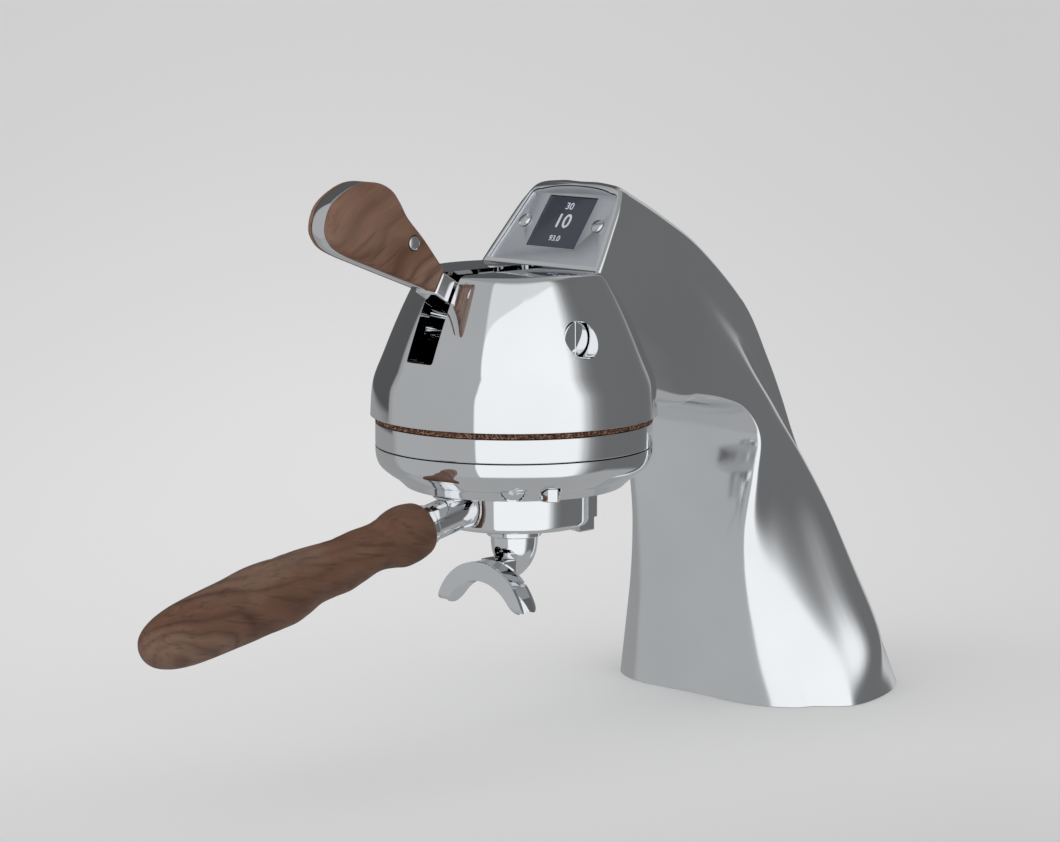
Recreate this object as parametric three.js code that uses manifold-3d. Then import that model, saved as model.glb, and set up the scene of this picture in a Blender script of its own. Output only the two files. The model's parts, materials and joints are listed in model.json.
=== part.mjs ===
// Espresso tap: a chromed swan-neck column that is bolted to a counter and carries a
// bell-shaped brewing group with a paddle lever, a small display and a portafilter.
// Millimetres, +Z up. The operator stands at -Y and looks along +Y, with +X to the right.
// The origin is the middle of the base's counter face. The brew axis stands in front of it,
// and everything below is placed in the brew axis's own frame, with heights above the counter.

import * as THREE from 'three';
import { mergeVertices } from 'three/addons/utils/BufferGeometryUtils.js';
import Module from 'manifold-3d';

const wasm = await Module();
wasm.setup();

// General sizes
const reach = 175;              // from the middle of the base forward to the brew axis
const fitGap = 0.3;             // clearance between two pieces that touch
const overrun = 3;              // how far a cutting body runs past what it cuts
const weldDistance = 0.0001;    // corners closer than this are one corner

// Bell, the round shell over the group
const lipHeight = 152.5;        // underside of the shell above the counter
const bellRadius = 67.3;        // outside of the shell at its lip
const bellRise = 68.5;          // lip to flat top
const bellWall = 4.2;
const seatRise = 5.5;           // inner flange that the group bolts to, above the lip
const seatThickness = 7;
const seatBore = 88;

// Column and arch
const archHeight = 259.7;       // top of the arch at the display
const baseHalfWidth = 77;
const plateThickness = 7;       // base plate, let into the foot of the column
const plateHole = 18;           // hole in the plate for the pipe and the cable
const plateHoleBack = 16;       // middle of that hole behind the origin
const baseScrewHead = 9;
const baseScrewHeadHeight = 3;
const baseScrewShank = 4;
const baseScrewLength = 13;

// Display
const displayShare = 0.7637;    // how far up the end of the arch the display's middle lies
const displayClear = 40;        // space kept free in front of the display
const bezelWidth = 71;          // across the lower edge
const bezelTopWidth = 58;
const bezelRise = 42.3;
const bezelDrop = 21.7;         // lower edge below the display's middle
const bezelCrown = 3;           // how much the upper edge arches
const bezelCorner = 6;
const bezelThickness = 2;
const bezelInset = 1;           // face of the bezel behind the housing's rim
const screenWidth = 31.2;
const screenRise = 27.6;
const screenThickness = 3.4;
const screenOffset = 1;         // middle of the screen above the display's middle
const screenInset = 0.4;        // face of the screen behind the face of the bezel
const boardMargin = 2.4;        // how far the board reaches past the screen
const boardThickness = 1.6;
const pocketDepth = 34;         // opening behind the board, into the hollow arch
const pocketStep = 2.8;         // ledge that the board rests on
const bezelScrewSpacing = 48;
const bezelScrewHead = 6.8;
const bezelScrewHeadRise = 1.2;
const bezelScrewShank = 2.4;
const bezelScrewLength = 8;
const bezelScrewSlot = 0.9;

// Group head, cork and cap
const corkThickness = 2.2;
const corkRadius = 65;
const corkBore = 106;
const headRadius = 65;          // the chrome band that shows
const bandHeight = 11;
const headBossRadius = 52;      // raised middle that the cork ring sits round
const headRecess = 1;
const skirtRadius = 44.6;       // skirt under the head that holds the gasket
const skirtDepth = 7.4;
const capHeight = 20;           // from the seam down to the cap's underside
const capThroatRadius = 47;
const capBoreRadius = 49.9;     // inside of the cap above its lip
const capLip = 2.9;
const headBoltCircle = 48;      // radius that the head bolts stand on
const headBoltShank = 5;
const headBoltHead = 8.5;
const headBoltHeadHeight = 5;
const headBoltGrip = 5.5;       // length of its thread in the seat
const capScrewCircle = 55.8;
const capScrewHead = 10.4;
const capScrewHeadHeight = 3.4;
const capScrewShank = 5;
const capScrewGrip = 8.5;       // length of its thread in the head
const capScrewSeat = 13;       // top of its recess above the cap's underside
const plugCircle = 55.4;
const plugAcross = 9.6;         // over the corners of its hexagon
const plugHeadHeight = 6.2;
const plugProud = 1.4;          // underside of its head above the cap's underside
const plugShank = 6;
const plugLength = 8;
const plugAzimuth = -27;        // degrees from +X round to +Y

// Bayonet ring, gasket and water parts
const ringRadius = 49.5;
const ringFlangeRadius = 46.6;
const ringGrooveRadius = 45.2;
const ringFlange = 4.4;
const ringBoreRadius = 37.2;
const earSlotWidth = 27;
const unlockAngle = 45;         // degrees that the portafilter turns to come out
const gasketBore = 59.6;
const gasketRadius = 36.9;
const gasketHeight = 8.4;
const dispersionRadius = 28.5;
const dispersionHeight = 5;
const dispersionHole = 2.5;
const dispersionHoleCircle = 14.2;
const showerThickness = 1;
const showerRimWall = 0.5;
const showerRimRise = 4;
const showerScrewHead = 10;
const showerScrewHeadHeight = 1.2;
const showerScrewShank = 4.8;
const showerScrewLength = 17;
const fittingDiameter = 14;
const fittingHeight = 8;
const fittingSocket = 5.3;      // how far the pipe sits in the fitting
const fittingBack = 24;         // behind the brew axis
const pipeDiameter = 8;
const pipeBore = 5;
const pipeSide = -9;            // pipe's plane from the middle plane
const pipeRiseShare = 0.2;      // upright end of the pipe against the arch's rise over the lip
const pipeBend = 14;
const inletStraight = 14;       // upright start of the pipe and the cable above the counter
const cableDiameter = 5;
const cableSide = 11;
const cableStraight = 10;       // end of the cable square to the display's board
const probeDiameter = 4;
const probeLength = 22;
const probeNut = 9;
const probeNutHeight = 4;
const probeSide = -22;
const probeBack = 6;
const probeDepth = 8;

// Portafilter
const bowlRadius = 35;
const bowlHeight = 28.7;
const bowlBoreRadius = 31.8;
const bowlFloor = 6;
const bowlCorner = 2.5;
const earRadius = 44.6;
const earHeight = 5.4;
const earWidth = 24;
const lugWidth = 13;
const lugReach = 46;            // front lug's outer face from the brew axis
const rearBlockWidth = 24;
const rearBlockReach = 44;
const rearBlockDrop = 7.4;      // how far it hangs below the bowl
const rearBlockStep = 2;
const rearBlockStepRise = 6;
const neckDiameter = 17.2;
const neckRise = 8.9;           // neck's line above the bowl's underside, at the lug
const neckMeet = 41;            // distance of that place from the brew axis
const neckDroop = 12;           // degrees
const neckLength = 20;          // from that place to the end of the wood
const neckRoot = 9;             // from that place back into the bowl's wall
const basketRadius = 29.6;
const basketDepth = 23;
const basketWall = 0.8;
const basketRim = 0.7;
const basketRimRadius = 34.6;
const basketCorner = 4;
const springWire = 1.2;
const springOpening = 30;       // degrees between the ends of the basket spring
const springDrop = 11;          // basket spring below the bowl's rim
const handleLength = 166;
const handleRadius = 15.6;
const studDiameter = 9.6;
const studInWood = 58;
const studInNeck = 10;

// Spout
const collarDiameter = 26.6;
const collarHeight = 2.4;
const stemDiameter = 22.2;
const stemHeight = 23;          // from under the collar to the rounded bottom
const spoutThread = 5.7;
const spoutThreadDiameter = 14;
const spoutBore = 7;
const outletBore = 6;
const outletRise = 3;           // outlet's middle above the top of the double spout
const spoutFront = 23.2;        // front face of the double spout, forward of the brew axis
const spoutDepth = 10;
const spoutDrop = 13.5;         // top of the double spout below the stem's collar
const spoutRadius = 30.1;
const spoutInnerRadius = 31.3;
const spoutThickness = 8.9;     // at the top of the arc
const spoutFall = 22.3;         // from its top down to its two tips
const spoutWall = 1.6;
const spoutFloor = 1.6;
const saddleWidth = 15;         // pad that joins the double spout to its stem
const saddleEnd = 5.5;          // its inner end forward of the brew axis, before the stem's cut

// Lever
const pivotFront = 11;          // lever pivot forward of the brew axis
const pivotRise = 40.5;         // lever pivot above the bell's lip
const slotWidth = 17;
const slotRise = 29;            // lower end of the slot above the bell's lip
const slotBack = 14;            // rear end of the slot behind the brew axis
const tangWidth = 14;
const tangRise = 11.2;
const leverAngle = 30.5;        // degrees that the lever points up at rest
const tangReach = 50.5;         // from the pivot to the paddle
const hubRadius = 12;
const coreThickness = 6.4;
const scaleThickness = 4.6;
const paddleLength = 73.5;
const paddleRise = 38.3;
const rivetDiameter = 6.7;
const rivetReach = 23.5;        // from the paddle's root
const rivetRise = 8.3;          // above the lever's line
const rivetDome = 0.5;
const bushDiameter = 14;
const bushLength = 5.3;
const bushFlange = 1.2;
const bushFlangeDiameter = 18;
const pivotShank = 8;
const pivotHead = 15.7;
const pivotHeadHeight = 4;
const pivotHeadFace = 51.5;     // from the middle plane
const pivotSlot = 1.6;
const pivotSlotDepth = 1.2;
const pivotEnd = 1;             // inner end of each pivot screw from the middle plane
const counterbore = 17;
const bossDiameter = 20;
const bossInner = 8.8;          // inner face of each boss from the middle plane
const bossOuter = 53.5;

// Numbers of sides on round pieces
const bellSides = 32;
const wideSides = 20;
const rodSides = 10;
const ringPoints = 22;
const tubeSteps = 22;
const springSteps = 20;
const tubeSides = 8;
const spoutSides = 36;
const hexSides = 6;

// Heights that follow from the stack of pieces in the group
const bellTop = lipHeight + bellRise;
const seatHeight = lipHeight + seatRise;
const corkTop = lipHeight - fitGap;
const headTop = corkTop - corkThickness - fitGap;
const bossTop = seatHeight - fitGap;
const seam = headTop - bandHeight;
const capTop = seam - fitGap;
const capBottom = capTop - capHeight;
const recessTop = seam + headRecess;
const gasketTop = recessTop - fitGap;
const gasketBottom = gasketTop - gasketHeight;
const dispersionBottom = gasketTop - dispersionHeight;
const showerTop = dispersionBottom - fitGap;
const basketTop = gasketBottom - fitGap;
const bowlTop = basketTop - basketRim - fitGap;
const bowlBottom = bowlTop - bowlHeight;
const rearBlockBottom = bowlBottom - rearBlockDrop;
const neckHeight = bowlBottom + neckRise;
const earBottom = capBottom + ringFlange + fitGap;
const underGroup = capBottom - fitGap;
const collarTop = bowlBottom - fitGap;
const collarBottom = collarTop - collarHeight;
const spoutTop = collarBottom - spoutDrop;
const spoutTip = spoutTop - spoutFall;
const spoutBack = spoutFront - spoutDepth;
const pivotHeight = lipHeight + pivotRise;
const slotBottom = lipHeight + slotRise;

// Outline of the bell from the lip up: radius against bellRadius, height against bellRise
const bellShares = [
  [1, 0], [0.994, 0.124], [0.984, 0.226], [0.961, 0.3], [0.917, 0.4], [0.66, 0.963],
  [0.637, 0.99], [0.6, 1],
];

// Outline of the cap from the seam down: radius against headRadius, depth against capHeight
const capShares = [
  [1, 0], [1, 0.16], [0.988, 0.35], [0.965, 0.48], [0.89, 0.675], [0.854, 0.735],
  [0.8, 0.9], [0.782, 0.955], [0.723, 1],
];

// Sections of the column, from the foot up and over to the display. Each row gives the front
// point and the rear point (reach against reach, height as columnHeight reads it), the half widths
// at the front crease, the flank, the rear ridge and the crest (against baseHalfWidth), how
// far from the front point to the rear point the ridge and the crease lie, and how far the
// valley behind the ridge has come in to the crest's width.
const columnShares = [
  [0.706, 0, 1.297, 0, 0.88, 1, 0.985, 0.6, 0.527, 0.19, 0.35],
  [0.686, 0.096, 1.22, 0.112, 0.706, 0.88, 0.948, 0.55, 0.64, 0.165, 0.48],
  [0.671, 0.212, 1.149, 0.239, 0.565, 0.695, 0.74, 0.42, 0.745, 0.1, 0.45],
  [0.669, 0.324, 1.072, 0.362, 0.513, 0.59, 0.61, 0.37, 0.778, 0.07, 0.7],
  [0.677, 0.432, 0.995, 0.477, 0.552, 0.565, 0.526, 0.318, 0.71, 0.07, 0.9],
  [0.691, 0.508, 0.923, 0.573, 0.565, 0.56, 0.506, 0.325, 0.54, 0.07, 0.9],
  [0.64, 0.562, 0.858, 0.649, 0.558, 0.553, 0.52, 0.338, 0.44, 0.06, 0.9],
  [0.554, 0.5815, 0.759, 0.759, 0.552, 0.545, 0.485, 0.338, 0.49, 0.06, 0.9],
  [0.457, 0.589, 0.582, 0.871, 0.545, 0.565, 0.5, 0.338, 0.53, 0.05, 0.75],
  [0.343, 0.5915, 0.427, 0.939, 0.52, 0.571, 0.5, 0.338, 0.6, 0.05, 0.6],
  [-0.086, 0.686, 0.2526, 1, 0.39, 0.52, 0.46, 0.36, 0.75, 0.05, 0.42],
];
const lastStation = columnShares.length - 1;
const lipShare = 0.5872;          // where the bell's lip lies in those heights
const frontFlatShare = 0.55;      // width of the flat front against the crease
const creaseInShare = 0.96;       // the two points of the crease's tight bend
const creaseBendShares = [0.7, 0.03];
const shoulderShares = [0.6, 0.25];
const flankShare = 0.55;
const valleyShare = 0.55;
const crestShare = 0.97;
const crownShare = 0.5;
const ductShare = 0.78;           // hollow of the column against its outside
const ledgeShare = 0.58;          // hollow just above the base plate
const plateShare = 0.762;
const baseScrewShare = 0.66;
const ductEndShare = 0.95;        // how far the hollow follows the sections
const pipeShare = 0.36;           // the pipe's way up the column, from its front to its rear
const cableShare = 0.5;

// Outline of the wooden handle from the neck: length against handleLength, radius against
// handleRadius
const handleShares = [
  [0, 0.72], [0.012, 0.78], [0.05, 0.825], [0.09, 0.825], [0.13, 0.74], [0.175, 0.692],
  [0.23, 0.735], [0.3, 0.78], [0.39, 0.81], [0.48, 0.95], [0.55, 1], [0.61, 1], [0.7, 0.95],
  [0.8, 0.915], [0.87, 0.84], [0.93, 0.68], [0.975, 0.42], [1, 0],
];

// Outline of the paddle from its root: along against paddleLength, rise against paddleRise
const paddleShares = [
  [0, -0.125], [0.457, -0.282], [0.79, -0.385], [0.915, -0.345], [0.978, -0.225],
  [1, 0.008], [0.95, 0.248], [0.861, 0.46], [0.745, 0.585], [0.629, 0.608], [0.535, 0.546],
  [0.428, 0.444], [0.248, 0.347], [0, 0.178],
];

// Outline of the spout's stem from the collar down: radius against half stemDiameter, depth
// against stemHeight
const stemShares = [
  [1, 0], [0.99, 0.32], [0.92, 0.51], [0.757, 0.7], [0.47, 0.88], [0.26, 0.97], [0, 1],
];

// Outline of a domed screw head: radius against half its diameter, height against its rise
const domeShares = [[1, 0], [1, 0.6], [0.84, 0.88], [0.5, 1], [0, 1]];

// Rounded lower edges of the bowl and the basket: in from the wall and up from the floor,
// against the size of the corner
const bowlCornerShares = [[1, 0], [0.3, 0.3], [0, 1]];
const basketCornerShares = [[1, 0], [0.25, 0.35], [0, 1]];

// Rows of columnShares whose middles the pipe and the cable follow
const ductStations = columnShares.map((row, index) => index).slice(2, 9);

// Small helpers

function rad(degrees) {
  return THREE.MathUtils.degToRad(degrees);
}

function vec(x, y, z) {
  return new THREE.Vector3(x, y, z);
}

// A solid from a closed geometry, with its faces turned outwards.
function solid(geometry) {
  const bare = new THREE.BufferGeometry();
  bare.setAttribute('position', geometry.getAttribute('position').clone());
  if (geometry.index) bare.setIndex(geometry.index.clone());
  const merged = mergeVertices(bare, weldDistance);
  const position = merged.getAttribute('position');
  const corners = Array.from(merged.index.array);
  const kept = [];
  let volume = 0;
  for (let i = 0; i < corners.length; i += 3) {
    const [a, b, c] = corners.slice(i, i + 3);
    if (a === b || b === c || c === a) continue;
    kept.push(a, b, c);
    const va = new THREE.Vector3().fromBufferAttribute(position, a);
    const vb = new THREE.Vector3().fromBufferAttribute(position, b);
    const vc = new THREE.Vector3().fromBufferAttribute(position, c);
    volume += va.dot(vb.cross(vc));
  }
  if (volume < 0) kept.reverse();
  const mesh = new wasm.Mesh({
    numProp: 3,
    vertProperties: new Float32Array(position.array),
    triVerts: new Uint32Array(kept),
  });
  return new wasm.Manifold(mesh);
}

// The geometry of a solid.
function surface(body) {
  const mesh = body.getMesh();
  const geometry = new THREE.BufferGeometry();
  geometry.setAttribute('position', new THREE.BufferAttribute(mesh.vertProperties, 3));
  geometry.setIndex(new THREE.BufferAttribute(mesh.triVerts, 1));
  const flat = geometry.toNonIndexed();
  flat.computeVertexNormals();
  return flat;
}

function join(...bodies) {
  return bodies.reduce((sum, body) => sum.add(body));
}

function cut(body, ...tools) {
  return tools.reduce((rest, tool) => rest.subtract(tool), body);
}

// A solid turned about Z from [radius, height] pairs that start and end on the axis.
function turned(profile, sides = wideSides) {
  const points = profile.map(([radius, height]) => new THREE.Vector2(radius, height));
  return solid(new THREE.LatheGeometry(points, sides).rotateX(Math.PI / 2));
}

// A ring turned about Z from a closed outline of [radius, height] pairs.
function turnedRing(profile, sides = wideSides) {
  return turned([...profile, profile[0]], sides);
}

function disc(radius, low, high, sides = wideSides) {
  return turned([[0, low], [radius, low], [radius, high], [0, high]], sides);
}

// The outline of a domed screw head from its underside up to the axis.
function domeOutline(diameter, low, rise) {
  return domeShares.map(([radius, height]) => [(radius * diameter) / 2, low + height * rise]);
}

function ring(inner, outer, low, high, sides = wideSides) {
  return turnedRing([[inner, low], [outer, low], [outer, high], [inner, high]], sides);
}

// A straight round rod between two points.
function rod(diameter, from, to, sides = rodSides) {
  const along = to.clone().sub(from);
  const geometry = new THREE.CylinderGeometry(diameter / 2, diameter / 2, along.length(), sides);
  const turn = new THREE.Quaternion().setFromUnitVectors(vec(0, 1, 0), along.clone().normalize());
  geometry.applyQuaternion(turn);
  const middle = from.clone().add(to).divideScalar(2);
  return solid(geometry.translate(middle.x, middle.y, middle.z));
}

function uprightRod(diameter, x, y, low, high, sides = rodSides) {
  return rod(diameter, vec(x, y, low), vec(x, y, high), sides);
}

function block(low, high) {
  const size = high.clone().sub(low);
  const middle = high.clone().add(low).divideScalar(2);
  const geometry = new THREE.BoxGeometry(size.x, size.y, size.z);
  return solid(geometry.translate(middle.x, middle.y, middle.z));
}

// A flat outline in XY, pushed from low to high along Z.
function plate(shape, low, high, curveSegments = 3) {
  const options = { depth: high - low, bevelEnabled: false, curveSegments };
  return solid(new THREE.ExtrudeGeometry(shape, options).translate(0, 0, low));
}

function placed(body, matrix) {
  return solid(surface(body).applyMatrix4(matrix));
}

// A round tube along a smooth route, solid when bore is zero.
function tubeAlong(route, diameter, bore, steps) {
  const shape = new THREE.Shape().absarc(0, 0, diameter / 2, 0, 2 * Math.PI);
  if (bore > 0) shape.holes.push(new THREE.Path().absarc(0, 0, bore / 2, 0, 2 * Math.PI));
  const options = { steps, extrudePath: route, curveSegments: tubeSides / 2, bevelEnabled: false };
  return solid(new THREE.ExtrudeGeometry(shape, options));
}

// Column

const stationCurve = new THREE.CubicInterpolant(
  Float32Array.from(columnShares, (row, index) => index),
  Float32Array.from(columnShares.flat()),
  columnShares[0].length,
);

// Height for a share of the way up the column. Below the bell's lip it follows the height of
// the lip, and above it the height of the arch, so that the arch always clears the group.
function columnHeight(share) {
  if (share < lipShare) return (share / lipShare) * lipHeight;
  return lipHeight + ((share - lipShare) / (1 - lipShare)) * (archHeight - lipHeight);
}

// One section of the column as a closed ring of points, drawn in about its middle by share.
function columnRing(station, share) {
  const row = Array.from(stationCurve.evaluate(station));
  const front = vec(0, row[0] * reach, columnHeight(row[1]));
  const rear = vec(0, row[2] * reach, columnHeight(row[3]));
  const [crease, flank, ridge, crest] = row.slice(4, 8).map((width) => width * baseHalfWidth);
  const [ridgeAt, creaseAt, valleyIn] = row.slice(8);
  const { lerp } = THREE.MathUtils;
  const half = [
    [crease * frontFlatShare, 0],
    [crease * creaseInShare, creaseAt * creaseBendShares[0]],
    [crease, creaseAt + creaseBendShares[1]],
    [lerp(crease, flank, shoulderShares[0]), lerp(creaseAt, ridgeAt, shoulderShares[1])],
    [flank, lerp(creaseAt, ridgeAt, flankShare)],
    [ridge, ridgeAt],
    [lerp(ridge, crest, valleyIn), lerp(ridgeAt, 1, valleyShare)],
    [crest, crestShare],
    [crest * crownShare, 1],
  ];
  const left = half.map(([side, back]) => [-side, back]).reverse();
  const outline = [[0, 0], ...half, [0, 1], ...left];
  const middle = front.clone().add(rear).divideScalar(2);
  return outline.map(([side, back]) => {
    const point = front.clone().lerp(rear, back);
    point.x = side;
    return point.sub(middle).multiplyScalar(share).add(middle);
  });
}

// A finer ring through the same points.
function smoothRing(points, count) {
  const curve = new THREE.CatmullRomCurve3(points, true, 'centripetal');
  return Array.from({ length: count }, (unused, index) => curve.getPoint(index / count));
}

// A closed skin over a row of rings with equal numbers of points.
function loft(rings) {
  const count = rings[0].length;
  const middles = [rings[0], rings[rings.length - 1]].map((points) => {
    const sum = points.reduce((total, point) => total.add(point), vec(0, 0, 0));
    return sum.divideScalar(count);
  });
  const corners = [...rings.flat(), ...middles].flatMap((point) => point.toArray());
  const faces = [];
  const last = (rings.length - 1) * count;
  for (let i = 0; i < count; i += 1) {
    const next = (i + 1) % count;
    for (let base = 0; base < last; base += count) {
      faces.push(base + i, base + next, base + count + next);
      faces.push(base + i, base + count + next, base + count + i);
    }
    faces.push(last + count, next, i);
    faces.push(last + count + 1, last + i, last + next);
  }
  const geometry = new THREE.BufferGeometry();
  geometry.setAttribute('position', new THREE.Float32BufferAttribute(corners, 3));
  geometry.setIndex(faces);
  return solid(geometry);
}

function columnOutside() {
  const rings = [];
  const steps = 2 * lastStation;
  for (let step = 0; step <= steps; step += 1) {
    rings.push(smoothRing(columnRing((step * lastStation) / steps, 1), ringPoints));
  }
  return loft(rings);
}

function columnHollow() {
  const rings = [];
  const steps = lastStation;
  for (let step = 0; step <= steps; step += 1) {
    const station = (step * lastStation * ductEndShare) / steps;
    rings.push(columnRing(station, step === 0 ? ledgeShare : ductShare));
  }
  return loft(rings);
}

// A level slice of the foot, drawn in by share, between two heights.
function footSlice(share, low, high) {
  const foot = columnRing(0, share);
  return loft([low, high].map((height) => foot.map((point) => vec(point.x, point.y, height))));
}

// The base screws stand at the two front creases and in the two valleys behind the ridges.
const baseScrewPlaces = columnRing(0, baseScrewShare).filter(
  (point, corner) => [3, 7, 13, 17].includes(corner),
);

// Bell

const bellOutline = bellShares.map(([radius, height]) => [
  radius * bellRadius,
  lipHeight + height * bellRise,
]);

function bellOutside() {
  return turned([[0, lipHeight], ...bellOutline, [0, bellTop]], bellSides);
}

function bellHollow() {
  const seatTop = seatHeight + seatThickness;
  const inner = bellOutline
    .filter(([, height]) => height > seatTop + bellWall)
    .map(([radius, height]) => [radius - bellWall, height - bellWall]);
  const outline = [
    [0, lipHeight - overrun],
    [bellRadius - bellWall, lipHeight - overrun],
    [bellRadius - bellWall, seatHeight],
    [seatBore / 2, seatHeight],
    [seatBore / 2, seatTop],
    [inner[0][0], seatTop],
    ...inner,
    [0, bellTop - bellWall],
  ];
  return turned(outline, bellSides);
}

// Display frame: local +Y runs up the display and local +Z comes out of it.

const displayFrame = new THREE.Group();
const topRow = columnShares[lastStation];
const archFront = vec(0, topRow[0] * reach, columnHeight(topRow[1]));
const archRear = vec(0, topRow[2] * reach, columnHeight(topRow[3]));
displayFrame.position.copy(archFront.clone().lerp(archRear, displayShare));
displayFrame.rotation.x = Math.atan2(archRear.z - archFront.z, archRear.y - archFront.y);
displayFrame.updateMatrix();

// Outline of the bezel, grown all round by margin.
function bezelShape(margin) {
  const low = -bezelDrop - margin;
  const high = bezelRise - bezelDrop + margin;
  const side = bezelWidth / 2 + margin;
  const topSide = bezelTopWidth / 2 + margin;
  const shoulder = high - bezelCrown;
  const shape = new THREE.Shape();
  shape.moveTo(-side, low);
  shape.lineTo(side, low);
  shape.lineTo(topSide, shoulder - bezelCorner);
  shape.quadraticCurveTo(topSide, shoulder, topSide - bezelCorner, shoulder);
  shape.quadraticCurveTo(topSide / 2, high, 0, high);
  shape.quadraticCurveTo(-topSide / 2, high, bezelCorner - topSide, shoulder);
  shape.quadraticCurveTo(-topSide, shoulder, -topSide, shoulder - bezelCorner);
  return shape;
}

const bezelFace = -bezelInset;
const bezelBack = bezelFace - bezelThickness;
const screenFace = bezelFace - screenInset;
const screenBack = screenFace - screenThickness;
const boardFace = screenBack - fitGap;
const boardBack = boardFace - boardThickness;
const boardHalfWidth = screenWidth / 2 + boardMargin;
const boardHalfRise = screenRise / 2 + boardMargin;

// A level box in the display frame, about the screen's middle.
function screenBlock(halfWidth, halfRise, low, high) {
  return block(
    vec(-halfWidth, screenOffset - halfRise, low),
    vec(halfWidth, screenOffset + halfRise, high),
  );
}

function displayCuts() {
  const recess = plate(bezelShape(fitGap), bezelBack - fitGap, displayClear);
  const pocket = screenBlock(
    boardHalfWidth + fitGap, boardHalfRise + fitGap, boardBack - fitGap, bezelBack,
  );
  const through = screenBlock(
    boardHalfWidth - pocketStep, boardHalfRise - pocketStep, -pocketDepth, boardBack,
  );
  const holes = [-1, 1].map((side) => uprightRod(
    bezelScrewShank + 2 * fitGap,
    (side * bezelScrewSpacing) / 2,
    0,
    bezelFace - bezelScrewLength - fitGap,
    overrun,
  ));
  return placed(join(recess, pocket, through, ...holes), displayFrame.matrix);
}

// Pivot bosses inside the bell

function pivotPoint(x) {
  return vec(x, -pivotFront, pivotHeight);
}

function pivotBosses() {
  return [-1, 1].map((side) => rod(
    bossDiameter, pivotPoint(side * bossInner), pivotPoint(side * bossOuter), wideSides,
  ));
}

function pivotHoles() {
  return [-1, 1].flatMap((side) => [
    rod(
      pivotShank + 2 * fitGap, pivotPoint(side * pivotEnd), pivotPoint(side * pivotHeadFace),
    ),
    rod(
      counterbore,
      pivotPoint(side * (pivotHeadFace - pivotHeadHeight - fitGap)),
      pivotPoint(side * bellRadius),
      wideSides,
    ),
  ]);
}

function leverSlot() {
  return block(
    vec(-slotWidth / 2, -bellRadius - overrun, slotBottom),
    vec(slotWidth / 2, slotBack, bellTop + overrun),
  );
}

function circlePlaces(radius, count, firstDegrees) {
  return Array.from({ length: count }, (unused, index) => {
    const angle = rad(firstDegrees + (index * 360) / count);
    return vec(radius * Math.cos(angle), radius * Math.sin(angle), 0);
  });
}

const headBoltPlaces = circlePlaces(headBoltCircle, 4, 0);
const capScrewPlaces = circlePlaces(capScrewCircle, 4, 45);
const headBoltEnd = bossTop + fitGap + headBoltGrip;

function tapBody() {
  const shell = cut(join(bellOutside(), columnOutside()), bellHollow(), columnHollow());
  const bored = cut(
    join(shell, ...pivotBosses()),
    footSlice(ductShare, -overrun, plateThickness + fitGap),
    footSlice(ledgeShare, 0, plateThickness + overrun),
    leverSlot(),
    displayCuts(),
    ...pivotHoles(),
    ...headBoltPlaces.map(({ x, y }) => uprightRod(
      headBoltShank + 2 * fitGap, x, y, seatHeight - overrun, headBoltEnd + fitGap,
    )),
    ...baseScrewPlaces.map(({ x, y }) => uprightRod(
      baseScrewShank + 2 * fitGap, x, y, 0, baseScrewLength + 2 * fitGap,
    )),
  );
  return bored;
}

// Base

function basePlate() {
  return cut(
    footSlice(plateShare, 0, plateThickness),
    uprightRod(plateHole, 0, reach + plateHoleBack, -overrun, plateThickness + overrun, wideSides),
    ...baseScrewPlaces.flatMap(({ x, y }) => [
      uprightRod(baseScrewShank + 2 * fitGap, x, y, -overrun, plateThickness + overrun),
      uprightRod(
        baseScrewHead + 2 * fitGap, x, y, -overrun, baseScrewHeadHeight + 2 * fitGap,
      ),
    ]),
  );
}

function baseScrew({ x, y }) {
  return join(
    uprightRod(baseScrewHead, x, y, fitGap, baseScrewHeadHeight + fitGap),
    uprightRod(baseScrewShank, x, y, fitGap, baseScrewLength + fitGap),
  );
}

// Display pieces, in the display frame

function displayBezel() {
  return cut(
    plate(bezelShape(0), bezelBack, bezelFace, 5),
    screenBlock(
      screenWidth / 2 + fitGap, screenRise / 2 + fitGap, bezelBack - overrun, overrun,
    ),
    ...[-1, 1].map((side) => uprightRod(
      bezelScrewShank + 2 * fitGap, (side * bezelScrewSpacing) / 2, 0, -overrun - bezelThickness,
      overrun,
    )),
  );
}

function displayScreen() {
  return screenBlock(screenWidth / 2, screenRise / 2, screenBack, screenFace);
}

function displayBoard() {
  return screenBlock(boardHalfWidth, boardHalfRise, boardBack, boardFace);
}

function bezelScrew(side) {
  const x = (side * bezelScrewSpacing) / 2;
  const under = bezelFace + fitGap;
  const dome = domeOutline(bezelScrewHead, under, bezelScrewHeadRise);
  const head = turned([[0, under], ...dome], rodSides);
  const slot = block(
    vec(-bezelScrewHead, -bezelScrewSlot / 2, under + bezelScrewHeadRise / 2),
    vec(bezelScrewHead, bezelScrewSlot / 2, under + overrun),
  );
  const move = new THREE.Matrix4().makeTranslation(x, 0, 0);
  return join(
    placed(cut(head, slot), move),
    uprightRod(bezelScrewShank, x, 0, bezelFace - bezelScrewLength, under + fitGap),
  );
}

// Group pieces

function corkRing() {
  return ring(corkBore / 2, corkRadius, corkTop - corkThickness, corkTop, bellSides);
}

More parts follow.
